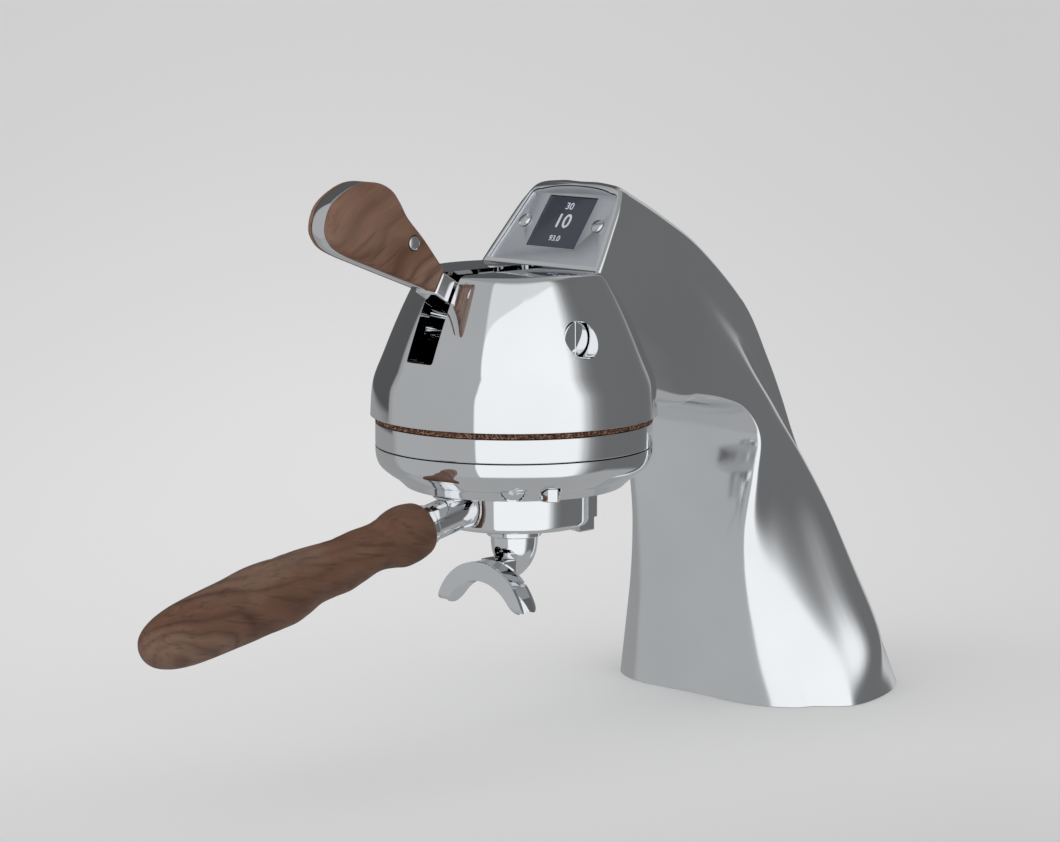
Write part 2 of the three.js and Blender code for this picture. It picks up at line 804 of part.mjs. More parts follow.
function groupHead() {
  const body = turned([
    [0, recessTop],
    [gasketRadius + fitGap, recessTop],
    [gasketRadius + fitGap, seam - skirtDepth],
    [skirtRadius, seam - skirtDepth],
    [skirtRadius, seam],
    [headRadius, seam],
    [headRadius, headTop],
    [headBossRadius, headTop],
    [headBossRadius, bossTop],
    [0, bossTop],
  ], bellSides);
  return cut(
    body,
    uprightRod(
      showerScrewShank + 2 * fitGap, 0, 0, recessTop - overrun,
      showerTop - showerThickness + showerScrewLength,
    ),
    uprightRod(pipeBore, pipeSide, fittingBack, recessTop - overrun, bossTop + overrun),
    uprightRod(
      probeDiameter + 2 * fitGap, probeSide, probeBack, bossTop - probeDepth - fitGap,
      bossTop + overrun,
    ),
    ...headBoltPlaces.flatMap(({ x, y }) => [
      uprightRod(headBoltShank + 2 * fitGap, x, y, seam, bossTop + overrun),
      uprightRod(
        headBoltHead + 2 * fitGap, x, y, seam - fitGap, seam + headBoltHeadHeight + 2 * fitGap,
      ),
    ]),
    ...capScrewPlaces.map(({ x, y }) => uprightRod(
      capScrewShank + 2 * fitGap, x, y, seam - overrun, seam + capScrewGrip + fitGap,
    )),
  );
}

function headBolt({ x, y }) {
  return join(
    uprightRod(headBoltHead, x, y, seam + fitGap, seam + fitGap + headBoltHeadHeight, hexSides),
    uprightRod(headBoltShank, x, y, seam + 2 * fitGap, headBoltEnd),
  );
}

function plugPlace() {
  return circlePlaces(plugCircle, 1, plugAzimuth)[0];
}

function groupCap() {
  const outside = capShares.map(([radius, depth]) => [
    radius * headRadius,
    capTop - depth * capHeight,
  ]);
  const body = turnedRing([
    ...outside,
    [capThroatRadius, capBottom],
    [capThroatRadius, capBottom + capLip],
    [capBoreRadius, capBottom + capLip],
    [capBoreRadius, capTop],
  ], bellSides);
  const { x, y } = plugPlace();
  return cut(
    body,
    ...capScrewPlaces.flatMap((place) => [
      uprightRod(
        capScrewHead + 2 * fitGap, place.x, place.y, capBottom - overrun,
        capBottom + capScrewSeat,
      ),
      uprightRod(
        capScrewShank + 2 * fitGap, place.x, place.y, capBottom, capTop + overrun,
      ),
    ]),
    uprightRod(
      plugAcross + 2 * fitGap, x, y, capBottom - overrun,
      capBottom + plugProud + plugHeadHeight + fitGap,
    ),
    uprightRod(
      plugShank + 2 * fitGap, x, y, capBottom,
      capBottom + plugProud + plugHeadHeight + plugLength + fitGap,
    ),
  );
}

function capScrew({ x, y }) {
  const top = capBottom + capScrewSeat - fitGap;
  return join(
    uprightRod(capScrewHead, x, y, top - capScrewHeadHeight, top),
    uprightRod(capScrewShank, x, y, top - fitGap, seam + capScrewGrip),
  );
}

function capPlug() {
  const { x, y } = plugPlace();
  const low = capBottom + plugProud;
  return join(
    uprightRod(plugAcross, x, y, low, low + plugHeadHeight, hexSides),
    uprightRod(plugShank, x, y, low + plugHeadHeight - fitGap, low + plugHeadHeight + plugLength),
  );
}

function bayonetRing() {
  const shoulder = capBottom + capLip + fitGap;
  const body = turnedRing([
    [ringBoreRadius, capBottom],
    [ringFlangeRadius, capBottom],
    [ringFlangeRadius, shoulder],
    [ringRadius, shoulder],
    [ringRadius, capTop],
    [ringGrooveRadius, capTop],
    [ringGrooveRadius, capBottom + ringFlange],
    [ringBoreRadius, capBottom + ringFlange],
  ], bellSides);
  const slot = block(
    vec(-earSlotWidth / 2, -ringGrooveRadius, capBottom - overrun),
    vec(earSlotWidth / 2, ringGrooveRadius, capBottom + ringFlange + overrun),
  );
  const turn = new THREE.Matrix4().makeRotationZ(rad(-unlockAngle));
  const rounded = placed(slot, turn).intersect(
    disc(ringGrooveRadius, capBottom - overrun, capTop, bellSides),
  );
  return cut(body, rounded);
}

function groupGasket() {
  return ring(gasketBore / 2, gasketRadius, gasketBottom, gasketTop);
}

function dispersionBlock() {
  return cut(
    disc(dispersionRadius, dispersionBottom, gasketTop),
    uprightRod(showerScrewShank + 2 * fitGap, 0, 0, 0, bellTop),
    ...circlePlaces(dispersionHoleCircle, 6, 0).map(({ x, y }) => uprightRod(
      dispersionHole, x, y, 0, bellTop, hexSides,
    )),
  );
}

function showerScreen() {
  const radius = dispersionRadius + fitGap + showerRimWall;
  const low = showerTop - showerThickness;
  const body = turned([
    [0, low], [radius, low], [radius, showerTop + showerRimRise],
    [radius - showerRimWall, showerTop + showerRimRise], [radius - showerRimWall, showerTop],
    [0, showerTop],
  ]);
  return cut(body, uprightRod(showerScrewShank + 2 * fitGap, 0, 0, 0, bellTop));
}

function showerScrew() {
  const top = showerTop - showerThickness - fitGap;
  return join(
    disc(showerScrewHead / 2, top - showerScrewHeadHeight, top, rodSides),
    uprightRod(showerScrewShank, 0, 0, top - fitGap, top + showerScrewLength - fitGap),
  );
}

function pipeFitting() {
  const low = bossTop + fitGap;
  const body = uprightRod(fittingDiameter, pipeSide, fittingBack, low, low + fittingHeight, hexSides);
  const socket = low + fittingHeight - fittingSocket;
  return cut(
    body,
    uprightRod(pipeBore, pipeSide, fittingBack, low - overrun, low + fittingHeight),
    uprightRod(
      pipeDiameter + 2 * fitGap, pipeSide, fittingBack, socket, low + fittingHeight + overrun,
    ),
  );
}

// A point in the hollow column at a station, at a share of the way back and in the plane x.
function ductPoint(station, x, share) {
  const points = columnRing(station, 1);
  const point = points[0].clone().lerp(points[points.length / 2], share);
  return vec(x, point.y, point.z);
}

function waterPipe() {
  const end = bossTop + fitGap + fittingHeight - fittingSocket + fitGap;
  const rise = pipeRiseShare * (archHeight - lipHeight);
  const inlet = reach + plateHoleBack;
  const route = new THREE.CatmullRomCurve3([
    vec(pipeSide / 2, inlet, fitGap),
    vec(pipeSide / 2, inlet, inletStraight),
    ...ductStations.map((station) => ductPoint(station, pipeSide, pipeShare)),
    vec(pipeSide, fittingBack + pipeBend, end + rise + pipeBend),
    vec(pipeSide, fittingBack, end + rise),
    vec(pipeSide, fittingBack, end + rise / 2),
    vec(pipeSide, fittingBack, end),
  ]);
  return tubeAlong(route, pipeDiameter, pipeBore, tubeSteps);
}

function signalCable() {
  const inlet = reach + plateHoleBack;
  const back = displayFrame.localToWorld(vec(cableSide, 0, boardBack - fitGap));
  const behind = displayFrame.localToWorld(vec(cableSide, 0, boardBack - cableStraight));
  const route = new THREE.CatmullRomCurve3([
    vec(cableSide / 2, inlet, fitGap),
    vec(cableSide / 2, inlet, inletStraight),
    ...ductStations.map((station) => ductPoint(station, cableSide, cableShare)),
    behind,
    back,
  ]);
  return tubeAlong(route, cableDiameter, 0, tubeSteps);
}

function temperatureProbe() {
  const low = bossTop - probeDepth;
  const nut = bossTop + fitGap;
  return join(
    uprightRod(probeDiameter, probeSide, probeBack, low, low + probeLength),
    uprightRod(probeNut, probeSide, probeBack, nut, nut + probeNutHeight, hexSides),
  );
}

// Lever pieces, in the lever frame: local +X runs from the pivot along the lever, local +Y
// is the side that faces up and local +Z points to the operator's left.

const leverFrame = new THREE.Group();
leverFrame.position.copy(pivotPoint(0));
leverFrame.quaternion.setFromRotationMatrix(new THREE.Matrix4().makeBasis(
  vec(0, -Math.cos(rad(leverAngle)), Math.sin(rad(leverAngle))),
  vec(0, Math.sin(rad(leverAngle)), Math.cos(rad(leverAngle))),
  vec(-1, 0, 0),
));

function paddleShape() {
  const points = paddleShares.map(([along, rise]) => new THREE.Vector2(
    tangReach + along * paddleLength,
    rise * paddleRise,
  ));
  const shape = new THREE.Shape();
  shape.moveTo(points[0].x, points[0].y);
  shape.splineThru(points.slice(1));
  return shape;
}

function rivetPoint(z) {
  return vec(tangReach + rivetReach, rivetRise, z);
}

function leverTang() {
  const half = tangWidth / 2;
  const bar = block(vec(0, -tangRise / 2, -half), vec(tangReach - fitGap, tangRise / 2, half));
  const bushHole = bushDiameter + 2 * fitGap;
  const tongue = block(
    vec(tangReach - overrun, paddleShares[0][1] * paddleRise, -coreThickness / 2),
    vec(tangReach + overrun, tangRise / 2, coreThickness / 2),
  );
  return cut(
    join(
      rod(2 * hubRadius, vec(0, 0, -half), vec(0, 0, half), wideSides),
      bar,
      tongue,
      plate(paddleShape(), -coreThickness / 2, coreThickness / 2, 2),
    ),
    rod(bushHole, vec(0, 0, -half - overrun), vec(0, 0, half + overrun), wideSides),
    rod(
      rivetDiameter + 2 * fitGap, rivetPoint(-half - overrun), rivetPoint(half + overrun),
    ),
  );
}

function leverScale(side) {
  const near = coreThickness / 2 + fitGap;
  const low = side > 0 ? near : -near - scaleThickness;
  return cut(
    plate(paddleShape(), low, low + scaleThickness, 2),
    rod(rivetDiameter + 2 * fitGap, rivetPoint(low - overrun), rivetPoint(low + 3 * overrun)),
  );
}

function leverRivet() {
  const half = coreThickness / 2 + fitGap + scaleThickness + rivetDome;
  return rod(rivetDiameter, rivetPoint(-half), rivetPoint(half));
}

function leverBush(side) {
  const half = tangWidth / 2;
  const inner = (pivotShank + 2 * fitGap) / 2;
  const flange = half + fitGap;
  const body = turnedRing([
    [inner, flange - fitGap - bushLength],
    [bushDiameter / 2, flange - fitGap - bushLength],
    [bushDiameter / 2, flange],
    [bushFlangeDiameter / 2, flange],
    [bushFlangeDiameter / 2, flange + bushFlange],
    [inner, flange + bushFlange],
  ], wideSides);
  const turn = new THREE.Matrix4().makeRotationX(side > 0 ? 0 : Math.PI);
  return placed(body, turn);
}

function pivotScrew(side) {
  const headBack = pivotHeadFace - pivotHeadHeight;
  const body = turned([
    [0, pivotEnd],
    [pivotShank / 2, pivotEnd],
    [pivotShank / 2, headBack],
    ...domeOutline(pivotHead, headBack, pivotHeadHeight),
  ]);
  const slot = block(
    vec(-pivotSlot / 2, -pivotHead, pivotHeadFace - pivotSlotDepth),
    vec(pivotSlot / 2, pivotHead, pivotHeadFace + overrun),
  );
  const turn = new THREE.Matrix4().makeRotationY((side * Math.PI) / 2);
  const upright = new THREE.Matrix4().makeRotationX(Math.PI / 2);
  const move = new THREE.Matrix4().makeTranslation(0, -pivotFront, pivotHeight);
  return placed(cut(body, slot), move.multiply(upright).multiply(turn));
}

// Portafilter

const handleFrame = new THREE.Group();
handleFrame.position.set(0, -neckMeet, neckHeight);
handleFrame.rotation.x = rad(90 + neckDroop);
handleFrame.updateMatrix();

function portafilterBody() {
  const bowl = turned([
    [0, bowlBottom],
    ...bowlCornerShares.map(([inward, up]) => [
      bowlRadius - inward * bowlCorner,
      bowlBottom + up * bowlCorner,
    ]),
    [bowlRadius, bowlTop],
    [0, bowlTop],
  ], bellSides);
  const neck = placed(uprightRod(neckDiameter, 0, 0, -neckRoot, neckLength - fitGap, wideSides),
    handleFrame.matrix);
  const lug = block(
    vec(-lugWidth / 2, -lugReach, neckHeight),
    vec(lugWidth / 2, -bowlBoreRadius, underGroup),
  );
  const half = rearBlockWidth / 2;
  const rearBlock = join(
    block(
      vec(-half, bowlBoreRadius, rearBlockBottom),
      vec(half, rearBlockReach - rearBlockStep, underGroup),
    ),
    block(
      vec(-half, bowlBoreRadius, rearBlockBottom + rearBlockStepRise),
      vec(half, rearBlockReach, underGroup),
    ),
  );
  const above = block(
    vec(-bellRadius, -bellRadius, underGroup),
    vec(bellRadius, bellRadius, bellTop),
  );
  const ears = block(
    vec(-earWidth / 2, -earRadius - overrun, earBottom),
    vec(earWidth / 2, earRadius + overrun, earBottom + earHeight),
  ).intersect(disc(earRadius, bowlBottom, bellTop, bellSides));
  const outside = join(cut(join(neck, lug, rearBlock), above), bowl, ears);
  const studHole = placed(
    uprightRod(studDiameter + 2 * fitGap, 0, 0, neckLength - studInNeck - 2 * fitGap,
      neckLength + overrun),
    handleFrame.matrix,
  );
  return cut(
    outside,
    disc(bowlBoreRadius, bowlBottom + bowlFloor, bellTop, bellSides),
    uprightRod(spoutThreadDiameter + 2 * fitGap, 0, 0, bowlBottom - overrun, bellTop, wideSides),
    studHole,
  );
}

function filterBasket() {
  const floor = basketTop - basketDepth;
  const under = basketTop - basketRim;
  const corner = basketCorner;
  return turned([
    [0, floor],
    ...basketCornerShares.map(([inward, up]) => [
      basketRadius - inward * corner,
      floor + up * corner,
    ]),
    [basketRadius, under],
    [basketRimRadius, under],
    [basketRimRadius, basketTop],
    [basketRadius - basketWall, basketTop],
    [basketRadius - basketWall, floor + corner],
    [basketRadius - corner, floor + basketWall],
    [0, floor + basketWall],
  ]);
}

function basketSpring() {
  const radius = (basketRadius + bowlBoreRadius) / 2;
  const height = bowlTop - springDrop;
  const opening = rad(springOpening);
  const points = Array.from({ length: springSteps + 1 }, (unused, index) => {
    const angle = opening / 2 + (index * (2 * Math.PI - opening)) / springSteps;
    return vec(radius * Math.sin(angle), radius * Math.cos(angle), height);
  });
  const route = new THREE.CatmullRomCurve3(points);
  const shape = new THREE.Shape().absarc(0, 0, springWire / 2, 0, 2 * Math.PI);
  const options = { steps: springSteps, extrudePath: route, curveSegments: 3, bevelEnabled: false };
  return solid(new THREE.ExtrudeGeometry(shape, options));
}

function handleWood() {
  const bore = studDiameter / 2 + fitGap;
  const outside = handleShares.map(([along, radius]) => [
    radius * handleRadius,
    neckLength + along * handleLength,
  ]);
  return turned([
    [0, neckLength + studInWood + fitGap],
    [bore, neckLength + studInWood + fitGap],
    [bore, neckLength],
    ...outside,
  ]);
}

function handleStud() {
  return uprightRod(studDiameter, 0, 0, neckLength - studInNeck, neckLength + studInWood);
}

// Spout

function stemOutline(margin) {
  return stemShares.map(([radius, depth]) => [
    (radius * stemDiameter) / 2 + Math.sign(radius) * margin,
    collarBottom - depth * (stemHeight + margin),
  ]);
}

function spoutStem() {
  const outletHeight = spoutTop + outletRise;
  const body = turned([
    [0, collarTop + spoutThread],
    [spoutThreadDiameter / 2, collarTop + spoutThread],
    [spoutThreadDiameter / 2, collarTop],
    [collarDiameter / 2, collarTop],
    [collarDiameter / 2, collarBottom],
    ...stemOutline(0),
  ]);
  return cut(
    body,
    uprightRod(spoutBore, 0, 0, outletHeight - outletBore / 2, bowlTop),
    rod(outletBore, vec(0, 0, outletHeight), vec(0, -spoutFront, outletHeight)),
  );
}

// A rod that lies along Y at a height, between two distances forward of the brew axis.
function levelRod(diameter, height, near, far) {
  return rod(diameter, vec(0, -near, height), vec(0, -far, height), spoutSides);
}

function doubleSpout() {
  const inner = spoutTop - spoutThickness - spoutInnerRadius;
  const slab = block(
    vec(-spoutRadius, -spoutFront, spoutTip),
    vec(spoutRadius, -spoutBack, spoutTop + overrun),
  );
  const disk = levelRod(2 * spoutRadius, spoutTop - spoutRadius, spoutBack, spoutFront);
  const arc = cut(
    disk.intersect(slab),
    levelRod(2 * spoutInnerRadius, inner, spoutBack - overrun, spoutFront + overrun),
  );
  const channel = cut(
    block(
      vec(-bowlRadius, spoutWall - spoutFront, spoutTip - overrun),
      vec(bowlRadius, -spoutBack - spoutWall, spoutTop + overrun),
    ),
    levelRod(2 * (spoutInnerRadius + spoutFloor), inner, 0, spoutFront + overrun),
  );
  const saddle = block(
    vec(-saddleWidth / 2, -spoutBack - spoutWall, spoutTop - spoutThickness),
    vec(saddleWidth / 2, -saddleEnd, spoutTop),
  );
  const stemRoom = turned([[0, collarBottom], ...stemOutline(fitGap)]);
  return join(cut(arc, channel), cut(saddle, stemRoom));
}

// Materials

function finish(color, roughness, metalness) {
  return new THREE.MeshStandardMaterial({ color, roughness, metalness });
}

const chrome = finish(0xdfe3e8, 0.05, 1);
const steel = finish(0xb9bcc0, 0.3, 1);
const brass = finish(0xc9a35a, 0.35, 1);
const walnut = finish(0x6b4533, 0.55, 0);
const cork = finish(0x5a3a2a, 0.9, 0);
const rubber = finish(0x1f1f20, 0.8, 0);
const slate = finish(0x3a3d4d, 0.2, 0);
const circuit = finish(0x1f5a3a, 0.5, 0);
const copper = finish(0xb87350, 0.3, 1);
const sheath = finish(0x26262a, 0.7, 0);

function piece(name, body, material) {
  const mesh = new THREE.Mesh(surface(body), material);
  mesh.name = name;
  return mesh;
}

// Assembly

displayFrame.add(
  piece('display_bezel', displayBezel(), chrome),
  piece('display_screen', displayScreen(), slate),
  piece('display_board', displayBoard(), circuit),
  piece('bezel_screw_left', bezelScrew(-1), steel),
  piece('bezel_screw_right', bezelScrew(1), steel),
);

leverFrame.add(
  piece('lever_tang', leverTang(), chrome),
  piece('lever_scale_left', leverScale(1), walnut),
  piece('lever_scale_right', leverScale(-1), walnut),
  piece('lever_rivet', leverRivet(), steel),
  piece('lever_bush_left', leverBush(1), brass),
  piece('lever_bush_right', leverBush(-1), brass),
);

handleFrame.add(
  piece('handle_wood', handleWood(), walnut),
  piece('handle_stud', handleStud(), steel),
);

const group = new THREE.Group();
group.add(
  piece('cork_ring', corkRing(), cork),
  piece('group_head', groupHead(), chrome),
  ...headBoltPlaces.map((place, index) => piece(`head_bolt_${index + 1}`, headBolt(place), steel)),
  piece('group_cap', groupCap(), chrome),
  ...capScrewPlaces.map((place, index) => piece(`cap_screw_${index + 1}`, capScrew(place), steel)),
  piece('cap_plug', capPlug(), chrome),
  piece('bayonet_ring', bayonetRing(), steel),
  piece('group_gasket', groupGasket(), rubber),
  piece('dispersion_block', dispersionBlock(), brass),
  piece('shower_screen', showerScreen(), steel),
  piece('shower_screw', showerScrew(), steel),
  piece('pipe_fitting', pipeFitting(), brass),
  piece('temperature_probe', temperatureProbe(), steel),
);

const portafilter = new THREE.Group();
portafilter.add(
  piece('portafilter_body', portafilterBody(), chrome),
  piece('filter_basket', filterBasket(), steel),
  piece('basket_spring', basketSpring(), steel),
  piece('spout_stem', spoutStem(), chrome),
  piece('spout_arch', doubleSpout(), chrome),
  handleFrame,
);

const tap = new THREE.Group();
tap.position.y = -reach;
tap.add(
  piece('tap_body', tapBody(), chrome),
  piece('base_plate', basePlate(), steel),
  ...baseScrewPlaces.map((place, index) => piece(
    `base_screw_${index + 1}`, baseScrew(place), steel,
  )),
  piece('pivot_screw_left', pivotScrew(-1), chrome),
  piece('pivot_screw_right', pivotScrew(1), chrome),
  piece('water_pipe', waterPipe(), copper),
  piece('signal_cable', signalCable(), sheath),
  displayFrame,
  leverFrame,
  group,
  portafilter,
);

const espressoTap = new THREE.Group();
espressoTap.add(tap);

export default espressoTap;
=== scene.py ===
"""An espresso brewing tap for a counter, dressed on its packed model.

Sizes in the code are millimetres in the brew axis's own frame, with heights above the
counter. The frame's origin is the middle of the base, REACH behind the brew axis.
"""
import json
import math

import bmesh
import bpy
from mathutils import Euler, Matrix, Vector


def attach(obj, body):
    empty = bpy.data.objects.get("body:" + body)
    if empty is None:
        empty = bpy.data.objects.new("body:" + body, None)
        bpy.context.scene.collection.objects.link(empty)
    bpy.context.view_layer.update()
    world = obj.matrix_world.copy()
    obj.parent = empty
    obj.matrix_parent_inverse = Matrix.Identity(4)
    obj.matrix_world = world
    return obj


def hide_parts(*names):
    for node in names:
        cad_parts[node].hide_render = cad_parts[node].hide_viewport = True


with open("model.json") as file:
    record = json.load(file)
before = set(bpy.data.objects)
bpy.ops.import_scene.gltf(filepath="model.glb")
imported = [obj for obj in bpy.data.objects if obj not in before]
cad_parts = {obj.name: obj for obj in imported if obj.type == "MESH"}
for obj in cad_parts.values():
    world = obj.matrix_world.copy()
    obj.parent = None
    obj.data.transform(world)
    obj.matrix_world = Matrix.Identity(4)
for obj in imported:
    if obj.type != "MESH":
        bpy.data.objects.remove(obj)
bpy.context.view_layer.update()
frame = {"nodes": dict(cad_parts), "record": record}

bl_info = {
    "name": "Espresso tap",
    "version": (1, 0, 0),
    "blender": (4, 5, 0),
    "location": "View3D > Sidebar > Espresso tap",
    "description": "Builds the shell, group, lever and portafilter of an espresso tap",
    "category": "Add Mesh",
}

MM = 0.001
REACH = 175.0
GAP = 0.3

# Bell and column
LIP = 152.5
BELL_RADIUS = 67.3
BELL_RISE = 68.5
BELL_WALL = 4.2
SEAT = 158.0
SEAT_THICKNESS = 7.0
SEAT_BORE = 88.0
ARCH_HEIGHT = 259.7
BASE_HALF_WIDTH = 77.0
PLATE_THICKNESS = 7.0
BELL_SHARES = [
    (1, 0), (0.994, 0.124), (0.984, 0.226), (0.961, 0.3), (0.917, 0.4), (0.8584, 0.546),
    (0.7953, 0.692), (0.726, 0.838), (0.66, 0.963), (0.637, 0.99), (0.6, 1),
]
# Each row: front Y,Z and rear Y,Z shares, half widths at the front crease, flank, ridge and
# rear crest, and how far back the ridge, the crease and the dip behind the ridge are
COLUMN = [
    (0.706, 0, 1.297, 0, 0.83, 0.99, 0.99, 0.6, 0.45, 0.19, 0.35),
    (0.686, 0.096, 1.22, 0.112, 0.706, 0.88, 0.948, 0.55, 0.64, 0.165, 0.48),
    (0.671, 0.212, 1.149, 0.239, 0.565, 0.695, 0.74, 0.42, 0.745, 0.1, 0.45),
    (0.669, 0.324, 1.072, 0.362, 0.513, 0.59, 0.61, 0.37, 0.778, 0.07, 0.7),
    (0.677, 0.432, 0.995, 0.477, 0.552, 0.565, 0.526, 0.318, 0.71, 0.07, 0.9),
    (0.691, 0.508, 0.923, 0.573, 0.565, 0.56, 0.506, 0.325, 0.54, 0.07, 0.9),
    (0.64, 0.562, 0.858, 0.649, 0.558, 0.553, 0.52, 0.338, 0.44, 0.06, 0.9),
    (0.554, 0.5815, 0.759, 0.759, 0.552, 0.545, 0.485, 0.338, 0.49, 0.06, 0.9),
    (0.457, 0.589, 0.582, 0.871, 0.545, 0.565, 0.5, 0.338, 0.53, 0.05, 0.75),
    (0.343, 0.5915, 0.427, 0.939, 0.52, 0.571, 0.5, 0.338, 0.6, 0.05, 0.6),
    (-0.086, 0.686, 0.2526, 1, 0.39, 0.52, 0.46, 0.36, 0.75, 0.05, 0.42),
]
DUCT_SHARE = 0.78
LEDGE_SHARE = 0.58
DUCT_END = 0.95
END_ROUND = 2.2

# Lever pivot and slot
PIVOT = Vector((0, -11, 193))
SLOT_WIDTH = 17.0
SLOT_BOTTOM = 181.5
SLOT_BACK = 14.0
LEVER_ANGLE = math.radians(30.5)
TANG_REACH = 50.5
PADDLE_LENGTH = 73.5
PADDLE_RISE = 38.3
PADDLE = [
    (0, -0.125), (0.457, -0.282), (0.79, -0.385), (0.915, -0.345), (0.978, -0.225),
    (1, 0.008), (0.95, 0.248), (0.861, 0.46), (0.745, 0.585), (0.629, 0.608),
    (0.535, 0.546), (0.428, 0.444), (0.248, 0.347), (0, 0.178),
]

# Heights in the group
CORK_TOP = 152.2
HEAD_TOP = 149.7
BOSS_TOP = 157.7
SEAM = 138.7
CAP_TOP = 138.4
CAP_BOTTOM = 118.4
UNDER_GROUP = 118.1
BOWL_TOP = 129.7
BOWL_BOTTOM = 101.0
HEAD_RADIUS = 65.0
CAP_SHARES = [
    (1, 0), (1, 0.16), (0.988, 0.35), (0.965, 0.48), (0.89, 0.675), (0.854, 0.735),
    (0.8, 0.9), (0.782, 0.955), (0.723, 1),
]

# Handle and spout
NECK = Vector((0, -41, 109.9))
NECK_TILT = math.radians(102)
HANDLE_START = 20.0
HANDLE_LENGTH = 166.0
HANDLE_RADIUS = 15.6
HANDLE_SHARES = [
    (0, 0.73), (0.012, 0.81), (0.05, 0.88), (0.09, 0.86), (0.13, 0.76), (0.175, 0.692),
    (0.23, 0.735), (0.3, 0.78), (0.39, 0.82), (0.48, 0.95), (0.55, 1), (0.61, 1),
    (0.7, 0.965), (0.8, 0.93), (0.87, 0.87), (0.93, 0.73), (0.975, 0.47), (1, 0),
]
HANDLE_BORE = 5.1
SPOUT_TOP = 84.8
SPOUT_RADIUS = 30.1
SPOUT_INNER = 25.0
SPOUT_THICKNESS = 8.9
SPOUT_WALL = 1.6
SPOUT_BACK = 13.2
SPOUT_FRONT = 23.2
TIP_HEIGHT = 67.5
END_HEIGHT = 66.5
END_RADIUS = 4.75
END_SIDE = 24.2
STEM_RADIUS = 11.1
STEM_START = 98.3
STEM_DROP = 23.0
STEM_TOP = 106.4
RING_RADIUS = 12.9
RING_TOP = 100.7
RING_BOTTOM = 95.1
RING_EDGE = 0.4
STEM_SHARES = [
    (1, 0), (0.99, 0.32), (0.92, 0.51), (0.757, 0.7), (0.47, 0.88), (0.26, 0.97), (0, 1),
]

# Screws, bolts and the plug
HEAD_BOLT_CIRCLE = 48.0
CUP_SCREW_CIRCLE = 55.8
PLUG_CIRCLE = 55.4
PLUG_ANGLE = math.radians(-27)
PIVOT_BORE = 4.3
PIVOT_HEAD_ROOM = 8.5
PIVOT_SEAT = 47.2
PIVOT_END = 51.5
DISPLAY_SCREW_SIDE = 24.0
RIVET_ALONG = 74.0
RIVET_RISE = 8.3
RIVET_BORE = 3.65

# Looks. MIDDLE_TONES is the part of a noise between its darkest and its lightest spots, and
# BLUR_FADE is where, in the frame's Y, the polish goes from the bell's to the column's
MIDDLE_TONES = (0.3, 0.7)
BLUR_FADE = (-100.0, -65.0)
VEIN_STOPS = [(0.0, 0.68), (0.22, 0.22), (0.5, 0.0), (0.78, 0.28), (0.95, 0.72), (1.0, 0.68)]

# Stage. The camera was solved from the photograph, and WALL_STOPS gives the grey of the tent's
# wall at degrees to the right of the camera, as seen from the tap
CAMERA_AZIMUTH = math.radians(45.34)
CAMERA_PITCH = math.radians(8.26)
CAMERA_SIDE = 7.4
CAMERA_HEIGHT = 149.05
CAMERA_DISTANCE = 1638.0
CAMERA_LENS = 118.87
FLOOR_HALF = 60.0
FLOOR_DROP = 0.0004
FLOOR_LIFT = 0.05
WALL_STOPS = [
    (-180, 0.31), (-120, 0.31), (-112, 0.415), (-32, 0.415), (-30.5, 0.74), (50, 0.74),
    (57, 0.71), (62, 0.5), (66, 0.3), (71, 0.2), (76, 0.165), (80, 0.15), (130, 0.15),
    (140, 0.16), (152, 0.55), (166, 0.45), (180, 0.09),
]


# Shapes

def column_row(station):
    """The column's sizes at a place between two rows of COLUMN, on a smooth cubic."""
    low = min(int(station), len(COLUMN) - 2)
    t = station - low
    before = COLUMN[low - 1] if low > 0 else COLUMN[low + 1]
    after = COLUMN[low + 2] if low + 2 < len(COLUMN) else COLUMN[low]
    wp = 0.5 if low > 0 else -0.5
    wn = 0.5 if low + 2 < len(COLUMN) else -0.5
    t2, t3 = t * t, t * t * t
    sp = -wp * t3 + 2 * wp * t2 - wp * t
    s0 = (1 + wp) * t3 + (-1.5 - 2 * wp) * t2 + (wp - 0.5) * t + 1
    s1 = (-1 - wn) * t3 + (1.5 + wn) * t2 + 0.5 * t
    sn = wn * t3 - wn * t2
    rows = zip(before, COLUMN[low], COLUMN[low + 1], after)
    return [sp * a + s0 * b + s1 * c + sn * d for a, b, c, d in rows]


def column_ring(station, share=1.0):
    """One section of the column, front point first and then round by the right."""
    fy, fz, ry, rz, *widths, ridge_at, crease_at, dip = column_row(station)
    front = Vector((0, fy * REACH, fz * ARCH_HEIGHT))
    rear = Vector((0, ry * REACH, rz * ARCH_HEIGHT))
    crease, flank, ridge, crest = [w * BASE_HALF_WIDTH for w in widths]

    def between(a, b, t):
        return a + (b - a) * t

    half = [
        (crease * 0.62, 0), (crease * 0.93, crease_at * 0.55), (crease, crease_at),
        (between(crease, flank, 0.6), between(crease_at, ridge_at, 0.25)),
        (flank, between(crease_at, ridge_at, 0.55)), (ridge, ridge_at),
        (between(ridge, crest, dip), between(ridge_at, 1, 0.55)),
        (crest, 0.97), (crest * 0.5, 1),
    ]
    outline = [(0, 0)] + half + [(0, 1)] + [(-x, back) for x, back in reversed(half)]
    middle = (front + rear) / 2
    ring = []
    for side, back in outline:
        point = front.lerp(rear, back)
        point.x = side
        ring.append(middle + (point - middle) * share)
    return ring


